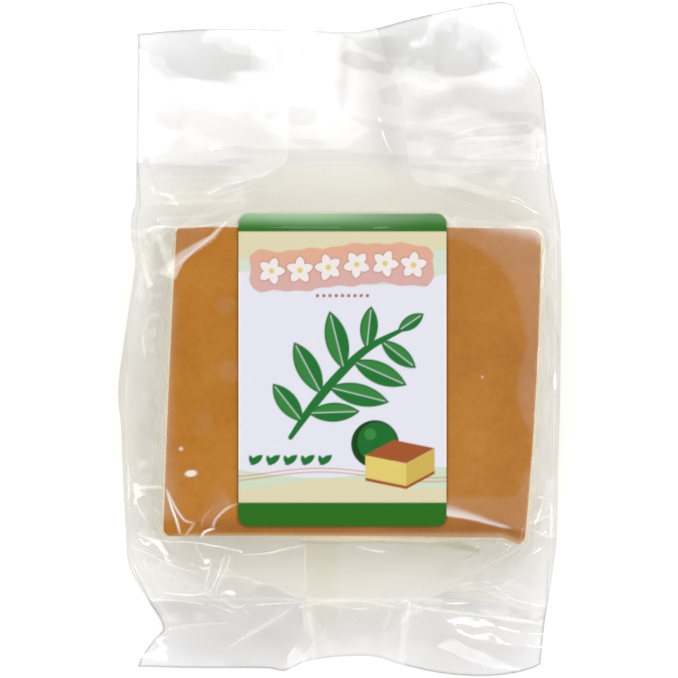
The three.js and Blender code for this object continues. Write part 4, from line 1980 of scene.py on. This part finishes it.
    def slices(self, u: Array, v: Array, colour: Array) -> None:
        """Lays a block of cake with a brown top, and a green disc behind it, in the lower right corner.

        Args:
            u: Millimetres right of its middle.
            v: Millimetres above its middle.
            colour: The colours so far, which are changed.
        """
        for round_ink, middle, radius, strength in self.rounds:
            self.lay(colour, round_ink, disc(u, v, middle, radius), strength)
        left, middle, right, _ = self.block_top
        faces = ((left, middle, Ink.YELLOW), (middle, right, Ink.OCHRE))
        for near, far, face_ink in faces:
            self.lay(colour, face_ink, polygon(u, v, self.upright(near, far, self.block_height)))
        self.lay(colour, Ink.RUSSET, polygon(u, v, self.block_top))
        for near, far, _ in faces:
            self.lay(colour, Ink.RUSSET, polygon(u, v, self.upright(near, far, self.block_crust)))

    def upright(self, near: Pair, far: Pair, tall: float) -> tuple:
        """The corners of an upright face of the block, from its foot to the given height."""
        foot = [(point[0], point[1] - self.block_height) for point in (near, far)]
        return (*foot, (far[0], foot[1][1] + tall), (near[0], foot[0][1] + tall))

    def trim(self, u: Array, v: Array, colour: Array) -> None:
        """Lays the small marks: a row of little leaves low on the left, and dots below the ribbon.

        Args:
            u: Millimetres right of its middle.
            v: Millimetres above its middle.
            colour: The colours so far, which are changed.
        """
        for at in self.little_leaves:
            self.lay(colour, Ink.LEAF, leaf(u, v, (at - 1.6, -27.4), 38.0, 4.6, 2.0))
            self.lay(colour, Ink.LEAF, leaf(u, v, (at - 0.6, -27.6), 112.0, 3.2, 1.5))
        half = self.dot_spacing / 2
        dots = 0.5 - np.hypot((u + half) % self.dot_spacing - half, v - self.dot_row)
        self.lay(colour, Ink.RUSSET, np.minimum(dots, self.dots_half_width - np.abs(u)), 0.9)

    def lay(self, colour: Array, ink: tuple, inside: Array, strength: Number = 1.0) -> None:
        """Lays an ink over a field of colour, with an edge one cell wide.

        Args:
            colour: The colours so far, which are changed.
            ink: The ink's linear RGB.
            inside: Millimetres inside the inked shape.
            strength: How much of the ink covers.
        """
        cover = (strength * np.clip(inside / self.cell + 0.5, 0, 1))[..., None]
        colour[...] = mix(colour, np.array(ink), cover)

    def paint(self, u: Array, v: Array) -> Array:
        """Colours the label.

        Args:
            u: Millimetres right of its middle.
            v: Millimetres above its middle.

        Returns:
            Linear RGB at each point.
        """
        colour = np.ones(u.shape + (3,)) * np.array(Ink.PAPER)
        for layer in (self.fields, self.ribbon, self.sprig, self.slices, self.trim):
            layer(u, v, colour)
        return colour

    def build(self) -> Piece:
        """Makes the printed sheet.

        Returns:
            The piece, riding on the body and standing for the label's solid.
        """
        sheet = self.sheet
        rows = round(sheet.length / self.cell)
        columns = round(sheet.width / self.cell)
        v_share, u_share = np.meshgrid(np.linspace(-1, 1, rows), np.linspace(-1, 1, columns), indexing="ij")
        v = v_share * sheet.length / 2
        into_corner = np.maximum(np.abs(v) - sheet.length / 2 + sheet.corner, 0)
        reach = sheet.width / 2 - sheet.corner + np.sqrt(np.maximum(sheet.corner**2 - into_corner**2, 0))
        u = u_share * reach
        x, y = sheet.x + u, sheet.y + v
        z = sheet.height + 0.04 * swell(u, v, 42.0, seed=71) - sheet.curl(x, y)
        points = np.stack([x, y, z], axis=-1).reshape(-1, 3)
        material = self.finish.make("label_print")
        piece = self.place.write("label_print", points, grid_quads(rows, columns), material)
        paint(piece, self.finish.layer, self.paint(u, v))
        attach(piece, BODY)
        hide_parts("label")
        return piece


# ---- The studio ----


@dataclass(frozen=True)
class Panel:
    """A rectangular soft light that looks at the pack: its place and size in metres, and its radiance."""

    name: str
    at: tuple[float, float, float]
    size: Pair
    radiance: float
    colour: Rgb = (1.0, 1.0, 1.0)

    def build(self) -> Piece:
        """Makes the area light, turned to look at the origin. Its power is radiance times pi times area.

        Returns:
            The lamp.
        """
        data = bpy.data.lights.new(self.name, "AREA")
        data.shape = "RECTANGLE"
        data.size, data.size_y = self.size
        data.energy = self.radiance * math.pi * self.size[0] * self.size[1]
        data.color = self.colour
        lamp = bpy.data.objects.new(self.name, data)
        lamp.location = self.at
        direction = -np.array(self.at) / np.linalg.norm(self.at)
        tilt = math.acos(-direction[2])
        heading = math.atan2(direction[1], direction[0]) - math.pi / 2 if tilt > 1e-6 else 0.0
        lamp.rotation_euler = (tilt, 0.0, heading)
        bpy.context.scene.collection.objects.link(lamp)
        return lamp


@dataclass
class Studio:
    """A pale floor, soft light from above, and a camera that looks straight down on the pack."""

    place: Place
    camera_distance: float = 1.0
    field_width: float = 0.1956
    sensor: float = 36.0
    floor_size: float = 3.0
    tent: Path = (
        (0, 1.22), (0.45, 1.22), (0.72, 1.05), (0.84, 0.8), (0.92, 0.48), (0.965, 0.22), (0.99, 0.08),
        (1, 0.06),
    )  # fmt: skip
    panels: tuple[Panel, ...] = (
        Panel("soft_right", (0.5, 0.05, 1.35), (1.2, 0.5), 1.3),
        Panel("soft_top", (-0.1, 0.62, 1.35), (1.5, 0.8), 1.75),
        Panel("soft_low", (0.25, -0.5, 1.35), (0.55, 0.3), 1.4),
        Panel("bright_left", (-0.72, 0.62, 0.95), (0.5, 0.07), 8.0),
        Panel("bright_right", (0.95, -0.12, 0.95), (0.5, 0.07), 8.0),
        Panel("bright_low", (-0.3, -0.9, 0.95), (0.5, 0.07), 8.0),
    )

    def light_tent(self) -> bpy.types.World:
        """Makes the tent round the studio: bright walls that turn dark overhead, where the camera looks in.

        Returns:
            The world, whose brightness is a curve of the height of the way out.
        """
        world = bpy.data.worlds.new("light_tent")
        world.use_nodes = True
        nodes, links = world.node_tree.nodes, world.node_tree.links
        heading = nodes.new("ShaderNodeTexCoord").outputs["Generated"]
        split = nodes.new("ShaderNodeSeparateXYZ")
        links.new(heading, split.inputs[0])
        brightness = nodes.new("ShaderNodeFloatCurve")
        curve = brightness.mapping.curves[0]
        top = max(value for _, value in self.tent)
        while len(curve.points) < len(self.tent):
            curve.points.new(0.5, 0.5)
        for point, (height, value) in zip(curve.points, self.tent):
            point.location = (height, value / top)
        brightness.mapping.update()
        links.new(split.outputs["Z"], brightness.inputs["Value"])
        background = nodes["Background"]
        background.inputs["Strength"].default_value = top
        links.new(brightness.outputs[0], background.inputs["Color"])
        return world

    def build(self) -> None:
        """Makes the floor, the lights and the camera, and sets the colour view."""
        scene = bpy.context.scene
        half = self.floor_size / 2
        corners = np.array([[-half, -half, 0], [half, -half, 0], [half, half, 0], [-half, half, 0]]) / METRES
        floor = self.place.write("floor", corners, np.array([[0, 1, 2, 3]]), FloorFinish().make("floor"))
        for panel in self.panels:
            panel.build()
        scene.world = self.light_tent()
        data = bpy.data.cameras.new("camera")
        data.sensor_width = self.sensor
        data.lens = self.sensor * self.camera_distance / self.field_width
        camera = bpy.data.objects.new("camera", data)
        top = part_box("label")[1][2]
        x, y = self.place.shift[:2] * METRES
        camera.location = (x, y, top + self.camera_distance)
        scene.collection.objects.link(camera)
        scene.camera = camera
        scene.view_settings.view_transform = "Standard"
        scene.cycles.transparent_max_bounces = 24
        scene.cycles.caustics_reflective = False
        scene.cycles.caustics_refractive = False


def main() -> None:
    """Builds the pack piece by piece, then the studio round it."""
    logging.basicConfig(level=logging.INFO, format="%(name)s: %(message)s")
    slab, label, plan = Slab(), LabelSheet(), BagPlan()
    place = Place(label)
    bag, cake, printed = FilmBag(place, plan, slab, label), Cake(place, slab), PaperLabel(place, label)
    pieces = [*bag.build(), *cake.build(), printed.build()]
    for piece in pieces:
        LOG.info("%s: %d faces", piece.name, len(piece.data.polygons))
    Studio(place).build()


if __name__ == "__main__":
    main()
